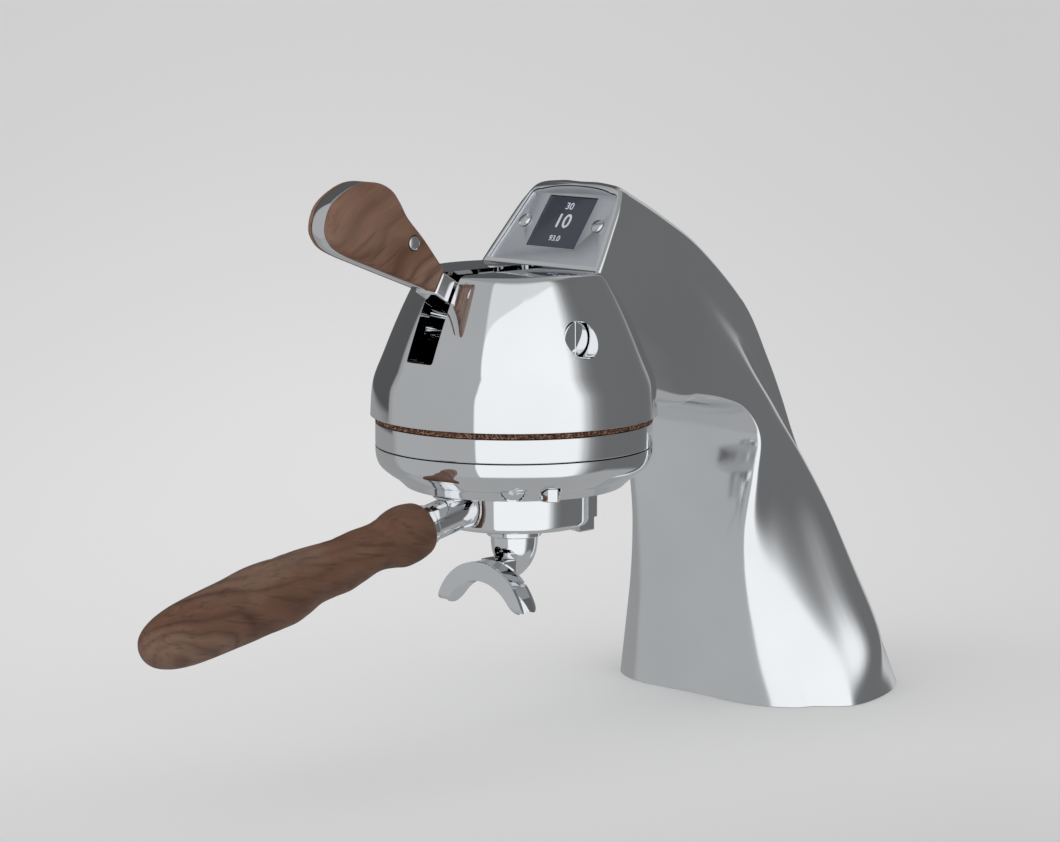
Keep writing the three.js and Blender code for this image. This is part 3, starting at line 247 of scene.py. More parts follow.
def smooth_loop(points, per_span):
    """A finer closed loop through the same points, without overshoot."""
    count = len(points)
    loop = []
    for i in range(count):
        p0, p1, p2, p3 = [points[(i + k) % count] for k in (-1, 0, 1, 2)]
        d0, d1, d2 = [max((b - a).length, 1e-6) ** 0.5 for a, b in ((p0, p1), (p1, p2), (p2, p3))]
        m1 = ((p1 - p0) / d0 - (p2 - p0) / (d0 + d1) + (p2 - p1) / d1) * d1
        m2 = ((p2 - p1) / d1 - (p3 - p1) / (d1 + d2) + (p3 - p2) / d2) * d1
        for k in range(per_span):
            t = k / per_span
            a, b = 2 * t ** 3 - 3 * t ** 2 + 1, t ** 3 - 2 * t ** 2 + t
            c, d = -2 * t ** 3 + 3 * t ** 2, t ** 3 - t ** 2
            loop.append(p1 * a + m1 * b + p2 * c + m2 * d)
    return loop


def smooth_line(points, per_span):
    """A finer open line through the same points."""
    points = [Vector(p) for p in points]
    last = len(points) - 1
    line = []
    for i in range(last):
        p0, p1 = points[max(i - 1, 0)], points[i]
        p2, p3 = points[i + 1], points[min(i + 2, last)]
        for k in range(per_span):
            t = k / per_span
            line.append(0.5 * (2 * p1 + (p2 - p0) * t + (2 * p0 - 5 * p1 + 4 * p2 - p3) * t * t
                               + (3 * p1 - p0 - 3 * p2 + p3) * t ** 3))
    return line + [points[last]]


def softened(outline, rounds=3):
    """An outline with its corners cut again and again, and its ends kept."""
    for _ in range(rounds):
        cut = [outline[0]]
        for (ar, az), (br, bz) in zip(outline, outline[1:]):
            cut.append((ar * 0.75 + br * 0.25, az * 0.75 + bz * 0.25))
            cut.append((ar * 0.25 + br * 0.75, az * 0.25 + bz * 0.75))
        outline = cut + [outline[-1]]
    return outline


def rounded(outline, steps=4):
    """An outline whose [radius, height, round] corners are rounded by their third number."""
    result = []
    for i, corner in enumerate(outline):
        here = Vector(corner[:2])
        if len(corner) < 3:
            result.append(tuple(here))
            continue
        before = Vector(outline[i - 1][:2]) - here
        after = Vector(outline[(i + 1) % len(outline)][:2]) - here
        size = min(corner[2], before.length * 0.49, after.length * 0.49)
        start, end = here + before.normalized() * size, here + after.normalized() * size
        for k in range(steps + 1):
            t = k / steps
            result.append(tuple(start * (1 - t) ** 2 + here * (2 * t * (1 - t)) + end * t * t))
    return result


# Meshes

def link(name, mesh):
    obj = bpy.data.objects.new(name, mesh)
    bpy.context.scene.collection.objects.link(obj)
    return obj


def solid(name, points, faces, place=None):
    """A closed mesh from points in millimetres, put in the brew axis's frame by place."""
    to_frame = Matrix.Translation((0, -REACH, 0)) @ (place or Matrix())
    mesh = bpy.data.meshes.new(name)
    mesh.from_pydata([(to_frame @ Vector(p)) * MM for p in points], [], faces)
    work = bmesh.new()
    work.from_mesh(mesh)
    bmesh.ops.remove_doubles(work, verts=work.verts, dist=1e-7)
    bmesh.ops.recalc_face_normals(work, faces=work.faces)
    work.to_mesh(mesh)
    work.free()
    return link(name, mesh)


def skin(name, rings, place=None, caps=True):
    """A closed skin over rings with equal numbers of points, flat at both ends."""
    count = len(rings[0])
    points = [p for ring in rings for p in ring]
    faces = []
    for r in range(len(rings) - 1):
        for i in range(count):
            j = (i + 1) % count
            faces.append((r * count + i, r * count + j, (r + 1) * count + j, (r + 1) * count + i))
    if caps:
        faces.append(tuple(range(count)))
        faces.append(tuple((len(rings) - 1) * count + i for i in range(count)))
    return solid(name, points, faces, place)


def spun(name, outline, sides=128, place=None):
    """A solid of revolution about Z from (radius, height) pairs."""
    closed = outline[0][0] > 0 or outline[-1][0] > 0
    points, rows = [], []
    for radius, height in outline:
        first = len(points)
        if radius < 1e-6:
            points.append((0, 0, height))
            rows.append([first])
            continue
        for k in range(sides):
            angle = 2 * math.pi * k / sides
            points.append((radius * math.cos(angle), radius * math.sin(angle), height))
        rows.append(list(range(first, first + sides)))
    pairs = list(zip(rows, rows[1:])) + ([(rows[-1], rows[0])] if closed else [])
    faces = []
    for low, high in pairs:
        for k in range(sides):
            n = (k + 1) % sides
            corners = [low[k % len(low)], low[n % len(low)], high[n % len(high)], high[k % len(high)]]
            face = list(dict.fromkeys(corners))
            if len(face) > 2:
                faces.append(face)
    return solid(name, points, faces, place)


def disc(name, radius, low, high, sides=64, place=None):
    return spun(name, [(0, low), (radius, low), (radius, high), (0, high)], sides, place)


def rod(name, radius, start, end, sides=64):
    """A cylinder between two points."""
    start, end = Vector(start), Vector(end)
    along = end - start
    place = Matrix.Translation(start) @ along.to_track_quat("Z", "Y").to_matrix().to_4x4()
    return disc(name, radius, 0, along.length, sides, place)


def box(name, low, high, place=None):
    (x0, y0, z0), (x1, y1, z1) = low, high
    points = [(x, y, z) for z in (z0, z1) for x, y in ((x0, y0), (x1, y0), (x1, y1), (x0, y1))]
    faces = [(0, 1, 2, 3), (4, 5, 6, 7), (0, 1, 5, 4), (1, 2, 6, 5), (2, 3, 7, 6), (3, 0, 4, 7)]
    return solid(name, points, faces, place)


def slab(name, outline, low, high, place=None):
    """A flat outline of (x, y) pairs, from low to high along Z."""
    return skin(name, [[(x, y, z) for x, y in outline] for z in (low, high)], place)


def bake(obj):
    """Takes the object's modifiers into its mesh."""
    graph = bpy.context.evaluated_depsgraph_get()
    mesh = bpy.data.meshes.new_from_object(obj.evaluated_get(graph), depsgraph=graph)
    obj.modifiers.clear()
    obj.data = mesh
    return obj


def combine(obj, operation, *tools):
    """Joins, cuts or intersects obj with each tool, and removes the tools."""
    for tool in tools:
        step = obj.modifiers.new(operation, "BOOLEAN")
        step.operation = operation
        step.solver = "MANIFOLD"
        step.object = tool
        bake(obj)
        bpy.data.objects.remove(tool)
    return obj


def soften(obj, width, segments=3, angle=30):
    """Rounds the edges that are sharper than angle."""
    step = obj.modifiers.new("edges", "BEVEL")
    step.width = width * MM
    step.segments = segments
    step.limit_method = "ANGLE"
    step.angle_limit = math.radians(angle)
    return bake(obj)


def shade(obj, angle=32):
    """Smooth shading, apart from edges sharper than angle."""
    mesh = obj.data
    mesh.polygons.foreach_set("use_smooth", [True] * len(mesh.polygons))
    mesh.set_sharp_from_angle(angle=math.radians(angle))
    return obj


def settle(obj, body, slot, material, *nodes, angle=32):
    """Gives a finished piece its look, its body and the nodes that it stands for."""
    shade(obj, angle)
    obj.data.materials.clear()
    obj.data.materials.append(material)
    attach(obj, body)
    if nodes:
        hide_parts(*nodes)
    return obj


def copies_tree():
    """A geometry node tree that sets a fastener at each point, turned by the point's own turn."""
    tree = bpy.data.node_groups.new("Fastener copies", "GeometryNodeTree")
    for label, kind in (("Places", "Geometry"), ("Fastener", "Object"), ("Size", "Float"),
                        ("Finish", "Material")):
        tree.interface.new_socket(label, in_out="INPUT", socket_type="NodeSocket" + kind)
    tree.interface.new_socket("Geometry", in_out="OUTPUT", socket_type="NodeSocketGeometry")
    add = tree.nodes.new
    start, end = add("NodeGroupInput"), add("NodeGroupOutput")
    info = add("GeometryNodeObjectInfo")
    turn = add("GeometryNodeInputNamedAttribute")
    turn.data_type = "FLOAT_VECTOR"
    turn.inputs["Name"].default_value = "turn"
    to_rotation = add("FunctionNodeEulerToRotation")
    put = add("GeometryNodeInstanceOnPoints")
    real = add("GeometryNodeRealizeInstances")
    paint = add("GeometryNodeSetMaterial")
    wire = tree.links.new
    wire(start.outputs["Places"], put.inputs["Points"])
    wire(start.outputs["Fastener"], info.inputs["Object"])
    wire(info.outputs["Geometry"], put.inputs["Instance"])
    wire(turn.outputs["Attribute"], to_rotation.inputs[0])
    wire(to_rotation.outputs[0], put.inputs["Rotation"])
    wire(start.outputs["Size"], put.inputs["Scale"])
    wire(put.outputs["Instances"], real.inputs["Geometry"])
    wire(real.outputs["Geometry"], paint.inputs["Geometry"])
    wire(start.outputs["Finish"], paint.inputs["Material"])
    wire(paint.outputs["Geometry"], end.inputs["Geometry"])
    return tree


def fasteners(name, model, places, material):
    """One plain mesh with a copy of model at each place, and removes model."""
    tree = bpy.data.node_groups.get("Fastener copies") or copies_tree()
    mesh = bpy.data.meshes.new(name)
    mesh.from_pydata([place.translation for place in places], [], [])
    turn = mesh.attributes.new("turn", "FLOAT_VECTOR", "POINT")
    turn.data.foreach_set("vector", [a for place in places for a in place.to_euler()])
    obj = link(name, mesh)
    step = obj.modifiers.new("copies", "NODES")
    step.node_group = tree
    values = {"Fastener": model, "Size": 1.0, "Finish": material}
    for item in tree.interface.items_tree:
        if item.in_out == "INPUT" and item.name in values:
            step[item.identifier] = values[item.name]
    bake(obj)
    bpy.data.objects.remove(model)
    return obj


def place_at(point, turn=(0, 0, 0)):
    """A placing in metres from a point in the brew axis's frame and a turn in degrees."""
    spot = Vector((point[0], point[1] - REACH, point[2])) * MM
    return Matrix.Translation(spot) @ Euler([math.radians(a) for a in turn]).to_matrix().to_4x4()


def own_model(obj):
    """Moves a mesh that was made about the brew axis's foot to Blender's own origin."""
    obj.data.transform(Matrix.Translation((0, REACH * MM, 0)))
    return obj


# Materials

def new_material(name):
    material = bpy.data.materials.new(name)
    material.use_nodes = True
    nodes = material.node_tree.nodes
    return material, nodes, material.node_tree.links, nodes["Principled BSDF"]


def ramp(nodes, links, factor, stops, smooth=False):
    """A colour ramp's output, from (position, colour or grey) stops."""
    node = nodes.new("ShaderNodeValToRGB")
    node.color_ramp.interpolation = "EASE" if smooth else "LINEAR"
    points = node.color_ramp.elements
    while len(points) < len(stops):
        points.new(0.5)
    for point, (position, colour) in zip(points, stops):
        point.position = position
        values = colour if isinstance(colour, (tuple, list)) else (colour,) * 3
        point.color = (*values[:3], 1)
    links.new(factor, node.inputs["Fac"])
    return node.outputs["Color"]


def math_of(nodes, links, operation, *values):
    """The output of a Math node whose inputs are numbers or other nodes' outputs."""
    node = nodes.new("ShaderNodeMath")
    node.operation = operation
    for socket, value in zip(node.inputs, values):
        if isinstance(value, (int, float)):
            socket.default_value = value
        else:
            links.new(value, socket)
    return node.outputs[0]


def range_of(nodes, links, value, start, end, low=0.0, high=1.0, kind="LINEAR"):
    """Goes from low to high while value goes from start to end."""
    node = nodes.new("ShaderNodeMapRange")
    node.interpolation_type = kind
    for label, number in (("From Min", start), ("From Max", end), ("To Min", low),
                          ("To Max", high)):
        node.inputs[label].default_value = number
    links.new(value, node.inputs["Value"])
    return node.outputs["Result"]


def multiplied(nodes, links, colour, mask):
    """One colour times another."""
    node = nodes.new("ShaderNodeMix")
    node.data_type = "RGBA"
    node.blend_type = "MULTIPLY"
    node.inputs["Factor"].default_value = 1.0
    links.new(colour, node.inputs["A"])
    links.new(mask, node.inputs["B"])
    return node.outputs["Result"]


def bumped(nodes, links, shader, height, strength, distance=0.0002):
    """Raises the shader's surface where height is bright."""
    bump = nodes.new("ShaderNodeBump")
    bump.inputs["Strength"].default_value = strength
    bump.inputs["Distance"].default_value = distance
    links.new(height, bump.inputs["Height"])
    links.new(bump.outputs["Normal"], shader.inputs["Normal"])


def noise_on(nodes, links, coordinates, scale, detail=4.0, roughness=0.5, stretch=(1, 1, 1)):
    """Noise on coordinates that are stretched first."""
    mapping = nodes.new("ShaderNodeMapping")
    mapping.inputs["Scale"].default_value = stretch
    links.new(coordinates, mapping.inputs["Vector"])
    noise = nodes.new("ShaderNodeTexNoise")
    noise.inputs["Scale"].default_value = scale
    noise.inputs["Detail"].default_value = detail
    noise.inputs["Roughness"].default_value = roughness
    links.new(mapping.outputs["Vector"], noise.inputs["Vector"])
    return noise.outputs["Fac"]


def metal(name, tint, low_rough, high_rough, grain=60.0, stretch=(1, 1, 1), relief=0.0,
          column_blur=0.0):
    """Metal whose gloss drifts a little over its surface, with a fine grain if relief is set.

    The column behind the bell is duller by column_blur."""
    material, nodes, links, shader = new_material(name)
    shader.inputs["Metallic"].default_value = 1.0
    coordinates = nodes.new("ShaderNodeTexCoord").outputs["Object"]
    drift = noise_on(nodes, links, coordinates, grain, 5.0, 0.55, stretch)
    rough = range_of(nodes, links, drift, *MIDDLE_TONES, low_rough, high_rough)
    if column_blur:
        split = nodes.new("ShaderNodeSeparateXYZ")
        links.new(coordinates, split.inputs["Vector"])
        start, end = [y * MM for y in BLUR_FADE]
        behind = range_of(nodes, links, split.outputs["Y"], start, end, 0.0, column_blur)
        rough = math_of(nodes, links, "ADD", rough, behind)
    links.new(rough, shader.inputs["Roughness"])
    darker = tuple(c * 0.94 for c in tint)
    patches = noise_on(nodes, links, coordinates, grain * 0.3, 3.0)
    colour = ramp(nodes, links, patches, list(zip(MIDDLE_TONES, (darker, tint))))
    links.new(colour, shader.inputs["Base Color"])
    if relief:
        fine = noise_on(nodes, links, coordinates, grain * 30, 3.0, 0.6, stretch)
        bumped(nodes, links, shader, fine, relief)
    return material


def wood(name, looks, turn, centre, brightness):
    """Walnut with its grain along local X after turn: swirls of soft dark veins near centre,
    on slow patches of tan and red-brown, with fine streaks and pores."""
    material, nodes, links, shader = new_material(name)
    source = nodes.new("ShaderNodeTexCoord").outputs["Object"]
    align = nodes.new("ShaderNodeMapping")
    align.vector_type = "TEXTURE"
    align.inputs["Location"].default_value = centre
    align.inputs["Rotation"].default_value = turn
    links.new(source, align.inputs["Vector"])
    along = align.outputs["Vector"]
    warp = nodes.new("ShaderNodeTexNoise")
    warp.inputs["Scale"].default_value = 24.0
    warp.inputs["Detail"].default_value = 1.5
    links.new(along, warp.inputs["Vector"])
    shift = nodes.new("ShaderNodeVectorMath")
    shift.operation = "MULTIPLY_ADD"
    shift.inputs[1].default_value = (0.05, 0.025, 0.025)
    links.new(warp.outputs["Color"], shift.inputs[0])
    links.new(along, shift.inputs[2])
    bent = shift.outputs["Vector"]

    swirl = noise_on(nodes, links, bent, 20.0, 1.0, 0.4, (0.38, 1, 1))
    rings = math_of(nodes, links, "MULTIPLY", swirl, looks.figure_count)
    veins = ramp(nodes, links, math_of(nodes, links, "FRACT", rings), VEIN_STOPS)
    slow = noise_on(nodes, links, along, 34.0, 1.0, 0.5, (0.6, 1, 1))
    fading = ramp(nodes, links, slow, [(0.35, 0.25), (0.65, 1.0)])
    dark, warm, light = [tuple(c * brightness for c in grain) for grain in (
        looks.wood_dark, looks.wood_warm, looks.wood_light)]
    patches = noise_on(nodes, links, bent, 26.0, 2.0, 0.5, (0.45, 1.1, 1.1))
    colour = ramp(nodes, links, patches, [(0.38, warm), (0.62, light)], smooth=True)
    veined = nodes.new("ShaderNodeMix")
    veined.data_type = "RGBA"
    veined.inputs["B"].default_value = (*dark, 1)
    links.new(math_of(nodes, links, "MULTIPLY", veins, fading), veined.inputs["Factor"])
    links.new(colour, veined.inputs["A"])

    streaks = noise_on(nodes, links, bent, 90.0, 5.0, 0.6, (0.25, 5, 5))
    dots = noise_on(nodes, links, along, 420.0, 2.0, 0.5, (0.07, 1, 1))
    pores = ramp(nodes, links, dots, [(0.34, 0.76), (0.42, 1.0)])
    lines = ramp(nodes, links, streaks, [(0.3, 0.86), (0.7, 1.06)])
    tone = multiplied(nodes, links, veined.outputs["Result"], pores)
    links.new(multiplied(nodes, links, tone, lines), shader.inputs["Base Color"])
    gloss = ramp(nodes, links, streaks, [(0.3, 0.56), (0.7, 0.44)])
    links.new(gloss, shader.inputs["Roughness"])
    shader.inputs["Specular IOR Level"].default_value = 0.25
    bumped(nodes, links, shader, pores, 0.25)
    return material


def cork_material(name, looks):
    """Pressed cork: small dark and tan grains of random tone with a rough surface."""
    material, nodes, links, shader = new_material(name)
    coordinates = nodes.new("ShaderNodeTexCoord").outputs["Object"]
    cells = nodes.new("ShaderNodeTexVoronoi")
    cells.inputs["Scale"].default_value = 1400.0
    links.new(coordinates, cells.inputs["Vector"])
    split = nodes.new("ShaderNodeSeparateColor")
    links.new(cells.outputs["Color"], split.inputs["Color"])
    dark, light = tuple(looks.cork_dark), tuple(looks.cork_light)
    half = tuple(a * 0.7 + b * 0.3 for a, b in zip(dark, light))
    grains = ramp(nodes, links, split.outputs["Red"], [(0.0, dark), (0.6, half), (1.0, light)])
    links.new(grains, shader.inputs["Base Color"])
    shader.inputs["Roughness"].default_value = 0.9
    shader.inputs["Specular IOR Level"].default_value = 0.2
    bumped(nodes, links, shader, cells.outputs["Distance"], 0.6, 0.0003)
    return material


def soft_material(name, colour, roughness, grain, spread=0.15, coat=0.0):
    """Rubber, plastic or glass with a faint mottle and a fine surface grain."""
    material, nodes, links, shader = new_material(name)
    coordinates = nodes.new("ShaderNodeTexCoord").outputs["Object"]
    mottle = noise_on(nodes, links, coordinates, grain, 4.0)
    tones = (tuple(c * (1 - spread) for c in colour), tuple(colour))
    gloss = (roughness, min(roughness * 1.25, 1))
    for stops, socket in ((tones, "Base Color"), (gloss, "Roughness")):
        look = ramp(nodes, links, mottle, list(zip(MIDDLE_TONES, stops)))
        links.new(look, shader.inputs[socket])
    shader.inputs["Coat Weight"].default_value = coat
    shader.inputs["Coat Roughness"].default_value = 0.08
    return material


def finish_of(name):
    """A finish by name, made once."""
    found = bpy.data.materials.get(name)
    if found:
        return found
    looks = bpy.context.scene.tap_finishes
    tint = tuple(looks.chrome_tint)
    makers = {
        "Chrome": lambda: metal(name, tint, looks.chrome_roughness, looks.chrome_roughness * 1.5,
                                column_blur=looks.column_blur),
        "Satin chrome": lambda: metal(name, tuple(c * 0.93 for c in tint), 0.09, 0.15),
        "Blasted plate": lambda: metal(name, (0.8, 0.82, 0.86), 0.38, 0.48, 90.0, relief=0.12),
        "Steel": lambda: metal(name, (0.72, 0.73, 0.75), 0.2, 0.3, 80.0, (1, 1, 4), 0.08),
        "Brass": lambda: metal(name, (0.76, 0.55, 0.24), 0.22, 0.34, 70.0, relief=0.06),
        "Copper": lambda: metal(name, (0.8, 0.42, 0.27), 0.24, 0.36, 70.0, relief=0.06),
        "Cork": lambda: cork_material(name, looks),
        "Handle walnut": lambda: wood(name, looks, (0, math.radians(12), math.radians(90)),
                                      (0.011, -0.332, 0.094), 1.14),
        "Lever walnut": lambda: wood(name, looks, (0, LEVER_ANGLE, math.radians(-90)),
                                     (0.009, -0.276, 0.236), 1.42),
        "Rubber": lambda: soft_material(name, (0.012, 0.012, 0.013), 0.6, 300.0),
        "Screen": lambda: soft_material(name, tuple(looks.screen_colour), 0.3, 200.0, 0.06, 0.6),
        "Digits": lambda: soft_material(name, (0.62, 0.65, 0.72), 0.5, 200.0, 0.04),
        "Circuit": lambda: soft_material(name, (0.01, 0.07, 0.03), 0.45, 250.0),
        "Cable sheath": lambda: soft_material(name, (0.014, 0.014, 0.016), 0.55, 250.0),
    }
    return makers[name]()


# Placings in millimetres, in the brew axis's frame

def display_place():
    top = COLUMN[-1]
    front = Vector((0, top[0] * REACH, top[1] * ARCH_HEIGHT))
    rear = Vector((0, top[2] * REACH, top[3] * ARCH_HEIGHT))
    tilt = math.atan2(rear.z - front.z, rear.y - front.y)
    return Matrix.Translation(front.lerp(rear, 0.7637)) @ Matrix.Rotation(tilt, 4, "X")


def lever_place():
    c, s = math.cos(LEVER_ANGLE), math.sin(LEVER_ANGLE)
    turn = Matrix(((0, 0, -1), (-c, s, 0), (s, c, 0))).to_4x4()
    return Matrix.Translation(PIVOT) @ turn


def handle_place():
    return Matrix.Translation(NECK) @ Matrix.Rotation(NECK_TILT, 4, "X")


def on_circle(radius, angle):
    """A place round the brew axis, at an angle counted from the right."""
    return radius * math.cos(angle), radius * math.sin(angle)


def bezel_outline(margin, steps=8):
    """The display plate's outline, grown all round by margin."""
    low, high = -21.7 - margin, 20.6 + margin
    side, top_side, shoulder = 35.5 + margin, 29 + margin, high - 3

    def bend(a, b, c):
        ts = [k / steps for k in range(steps + 1)]
        return [((1 - t) ** 2 * a[0] + 2 * t * (1 - t) * b[0] + t * t * c[0],
                 (1 - t) ** 2 * a[1] + 2 * t * (1 - t) * b[1] + t * t * c[1]) for t in ts]

    right = [(side, low)]
    right += bend((top_side, shoulder - 6), (top_side, shoulder), (top_side - 6, shoulder))
    right += bend((top_side - 6, shoulder), (top_side / 2, high), (0, high))[1:]
    return right + [(-x, y) for x, y in reversed(right[:-1])]


# Pieces

def bell_outline():
    walls = softened([(r * BELL_RADIUS, LIP + h * BELL_RISE) for r, h in BELL_SHARES], 3)
    lip = [(0, LIP), (BELL_RADIUS - 1, LIP), (BELL_RADIUS - 0.35, LIP + 0.25)]
    return lip + [(BELL_RADIUS, LIP + 0.9)] + walls[2:] + [(0, LIP + BELL_RISE)]


def column_outside():
    """The column and its arch, with a rounded rim round the display."""
    last = len(COLUMN) - 1
    steps = 12
    rings = [smooth_loop(column_ring(k / steps), 6) for k in range(last * steps + 1)]
    end = rings[-1]
    count = len(end)
    normal = (display_place().to_3x3() @ Vector((0, 0, 1))).normalized()
    middle = sum(end, Vector()) / count
    inward = []
    for i, point in enumerate(end):
        side = normal.cross(end[(i + 1) % count] - end[i - 1]).normalized()
        inward.append(side if side.dot(middle - point) > 0 else -side)
    while (rings[-1][0] - end[0]).dot(normal) > -END_ROUND - 0.2:
        rings.pop()
    for k in range(7):
        a = math.radians(15 * k)
        back, into = END_ROUND * (1 - math.sin(a)), END_ROUND * (1 - math.cos(a))
        rings.append([p - normal * back + i * into for p, i in zip(end, inward)])
    return skin("column", rings)


def shell_hollow():
    """The room inside the bell, over and under its inner flange."""
    inner = [(r * BELL_RADIUS - BELL_WALL, LIP + h * BELL_RISE - BELL_WALL)
             for r, h in BELL_SHARES if LIP + h * BELL_RISE > SEAT + SEAT_THICKNESS + BELL_WALL]
    seat_top = SEAT + SEAT_THICKNESS
    outline = [
        (0, LIP - 3), (BELL_RADIUS - BELL_WALL, LIP - 3), (BELL_RADIUS - BELL_WALL, SEAT),
        (SEAT_BORE / 2, SEAT), (SEAT_BORE / 2, seat_top), (inner[0][0], seat_top),
    ]
    return spun("room", outline + inner + [(0, LIP + BELL_RISE - BELL_WALL)], 96)


def foot_slice(share, low, high):
    ring = column_ring(0, share)
    return skin("foot", [[(p.x, p.y, z) for p in ring] for z in (low, high)])


def make_shell():
    """The bell and the column as one chromed casting."""
    shell = spun("bell_and_column", bell_outline(), 192)
    combine(shell, "UNION", column_outside())
    last = len(COLUMN) - 1
    duct = [column_ring(k * last * DUCT_END / 20, LEDGE_SHARE if k == 0 else DUCT_SHARE)
            for k in range(21)]
    combine(shell, "DIFFERENCE", shell_hollow(), skin("duct", duct))
    for side in (-1, 1):
        boss = rod("boss", 10, (side * 8.8, PIVOT.y, PIVOT.z), (side * 60, PIVOT.y, PIVOT.z))
        combine(boss, "INTERSECT", spun("bell", bell_outline(), 192))
        combine(shell, "UNION", boss)
    display = display_place()
    screen_room = box("pocket", (-18.3, -15.5, -7), (18.3, 17.5, -3), display)
    board_room = box("through", (-15.2, -12.4, -34), (15.2, 14.4, -6.7), display)
    slot = slab("slot", [(-SLOT_WIDTH / 2, -71), (SLOT_WIDTH / 2, -71)] + [
        (SLOT_WIDTH / 2 * math.cos(a), SLOT_BACK - 3 + 3 * math.sin(a))
        for a in [math.radians(d) for d in range(0, 181, 12)]
    ], SLOT_BOTTOM, LIP + BELL_RISE + 3)
    soften(slot, 1.2, 4)
    tools = [
        foot_slice(DUCT_SHARE, -3, PLATE_THICKNESS + GAP),
        foot_slice(LEDGE_SHARE, 0, PLATE_THICKNESS + 3),
        slot,
        slab("recess", bezel_outline(GAP), -3.3, 40, display),
        screen_room, board_room,
    ]
    for side in (-1, 1):
        x = side * PIVOT_END
        tools.append(rod("bore", PIVOT_BORE, (side, PIVOT.y, PIVOT.z), (x, PIVOT.y, PIVOT.z)))
        tools.append(rod("counterbore", PIVOT_HEAD_ROOM, (side * PIVOT_SEAT, PIVOT.y, PIVOT.z),
                         (side * 70, PIVOT.y, PIVOT.z), 96))
        tools.append(disc("hole", 1.5, -9.3, 3, 24,
                          display @ Matrix.Translation((side * DISPLAY_SCREW_SIDE, 0, 0))))
    for k in range(4):
        x, y = on_circle(HEAD_BOLT_CIRCLE, k * math.pi / 2)
        tools.append(rod("hole", 2.8, (x, y, 155), (x, y, 164), 24))
    for k in (1, 2, 3, 4):
        corners = frame["nodes"]["base_screw_%d" % k].bound_box
        x, y = [(min(c[axis] for c in corners) + max(c[axis] for c in corners)) / 2 / MM
                for axis in (0, 1)]
        tools.append(rod("hole", 2.3, (x, y + REACH, 0), (x, y + REACH, 13.6), 24))
    combine(shell, "DIFFERENCE", *tools)
    settle(shell, "tap", "chrome", finish_of("Chrome"), "tap_body", angle=28)


def make_display():
    """The display's plate, window and numbers, and the two slotted screws."""
    display = display_place()
    plate = slab("display_plate", bezel_outline(0), -3, -1, display)
    window = box("opening", (-15.9, -13.1, -6), (15.9, 15.1, 3), display)
    combine(plate, "DIFFERENCE", window, *[
        disc("hole", 1.5, -6, 3, 24, display @ Matrix.Translation((side * DISPLAY_SCREW_SIDE, 0, 0)))
        for side in (-1, 1)
    ])
    soften(plate, 0.35, 2)
    settle(plate, "tap", "chrome", finish_of("Blasted plate"), "display_bezel")
    screen = soften(box("display_window", (-15.6, -12.8, -4.8), (15.6, 14.8, -1.4), display), 0.4)
    settle(screen, "tap", "slate", finish_of("Screen"), "display_screen")
    looks = bpy.context.scene.tap_finishes
    rows = ((str(looks.shown_number), 10.5, 1.2), ("30", 5.2, 9.6), ("93.0", 4.2, -8.2))
    meshes = bmesh.new()
    for words, size, rise in rows:
        text = bpy.data.curves.new("number", "FONT")
        text.body = words
        text.size = size
        text.align_x, text.align_y = "CENTER", "CENTER"
        text.extrude = 0.1
        text.offset = size * 0.012
        obj = link("number", text)
        graph = bpy.context.evaluated_depsgraph_get()
        mesh = bpy.data.meshes.new_from_object(obj.evaluated_get(graph), depsgraph=graph)
        place = Matrix.Translation((0, -REACH, 0)) @ display @ Matrix.Translation((0, rise, -1.33))
        mesh.transform(Matrix.Scale(MM, 4) @ place)
        meshes.from_mesh(mesh)
        bpy.data.objects.remove(obj)
    mesh = bpy.data.meshes.new("display_numbers")
    bmesh.ops.remove_doubles(meshes, verts=meshes.verts, dist=1e-7)
    meshes.to_mesh(mesh)
    meshes.free()
    settle(link("display_numbers", mesh), "tap", "slate", finish_of("Digits"))
    head = spun("model", [(0, -7.5), (1.2, -7.5), (1.2, 0), (3.4, 0)] + softened(
        [(3.4, 0), (3.4, 0.5), (2.5, 1.3), (0, 1.5)], 3)[1:], 64)
    combine(head, "DIFFERENCE", box("slot", (-4, -0.5, 0.6), (4, 0.5, 4)))
    own_model(head)
    tilt = math.degrees(display.to_euler().x)
    places = []
    for side, twist in ((-1, 62), (1, 20)):
        spot = display @ Vector((side * DISPLAY_SCREW_SIDE, 0, -0.7))
        turn = Matrix.Rotation(math.radians(tilt), 4, "X") @ Matrix.Rotation(
            math.radians(twist), 4, "Z")
        places.append(place_at(spot) @ turn)
    screws = fasteners("display_screws", head, places, finish_of("Satin chrome"))
    settle(screws, "tap", "steel", finish_of("Satin chrome"), "bezel_screw_left",
           "bezel_screw_right")


def cup_outline(inset=0.0):
    """Section of the cup under the band, with its outside moved in by inset."""
    walls = [(r * HEAD_RADIUS - inset, CAP_TOP - d * 20 + inset) for r, d in CAP_SHARES]
    outline = [(64.4 - inset, CAP_TOP), (64.85 - inset, CAP_TOP - 0.15)]
    outline += softened(walls, 2)[1:]
    low = CAP_BOTTOM + inset
    return outline + [(47, low), (47, 121.3), (49.9, 121.3), (49.9, CAP_TOP)]


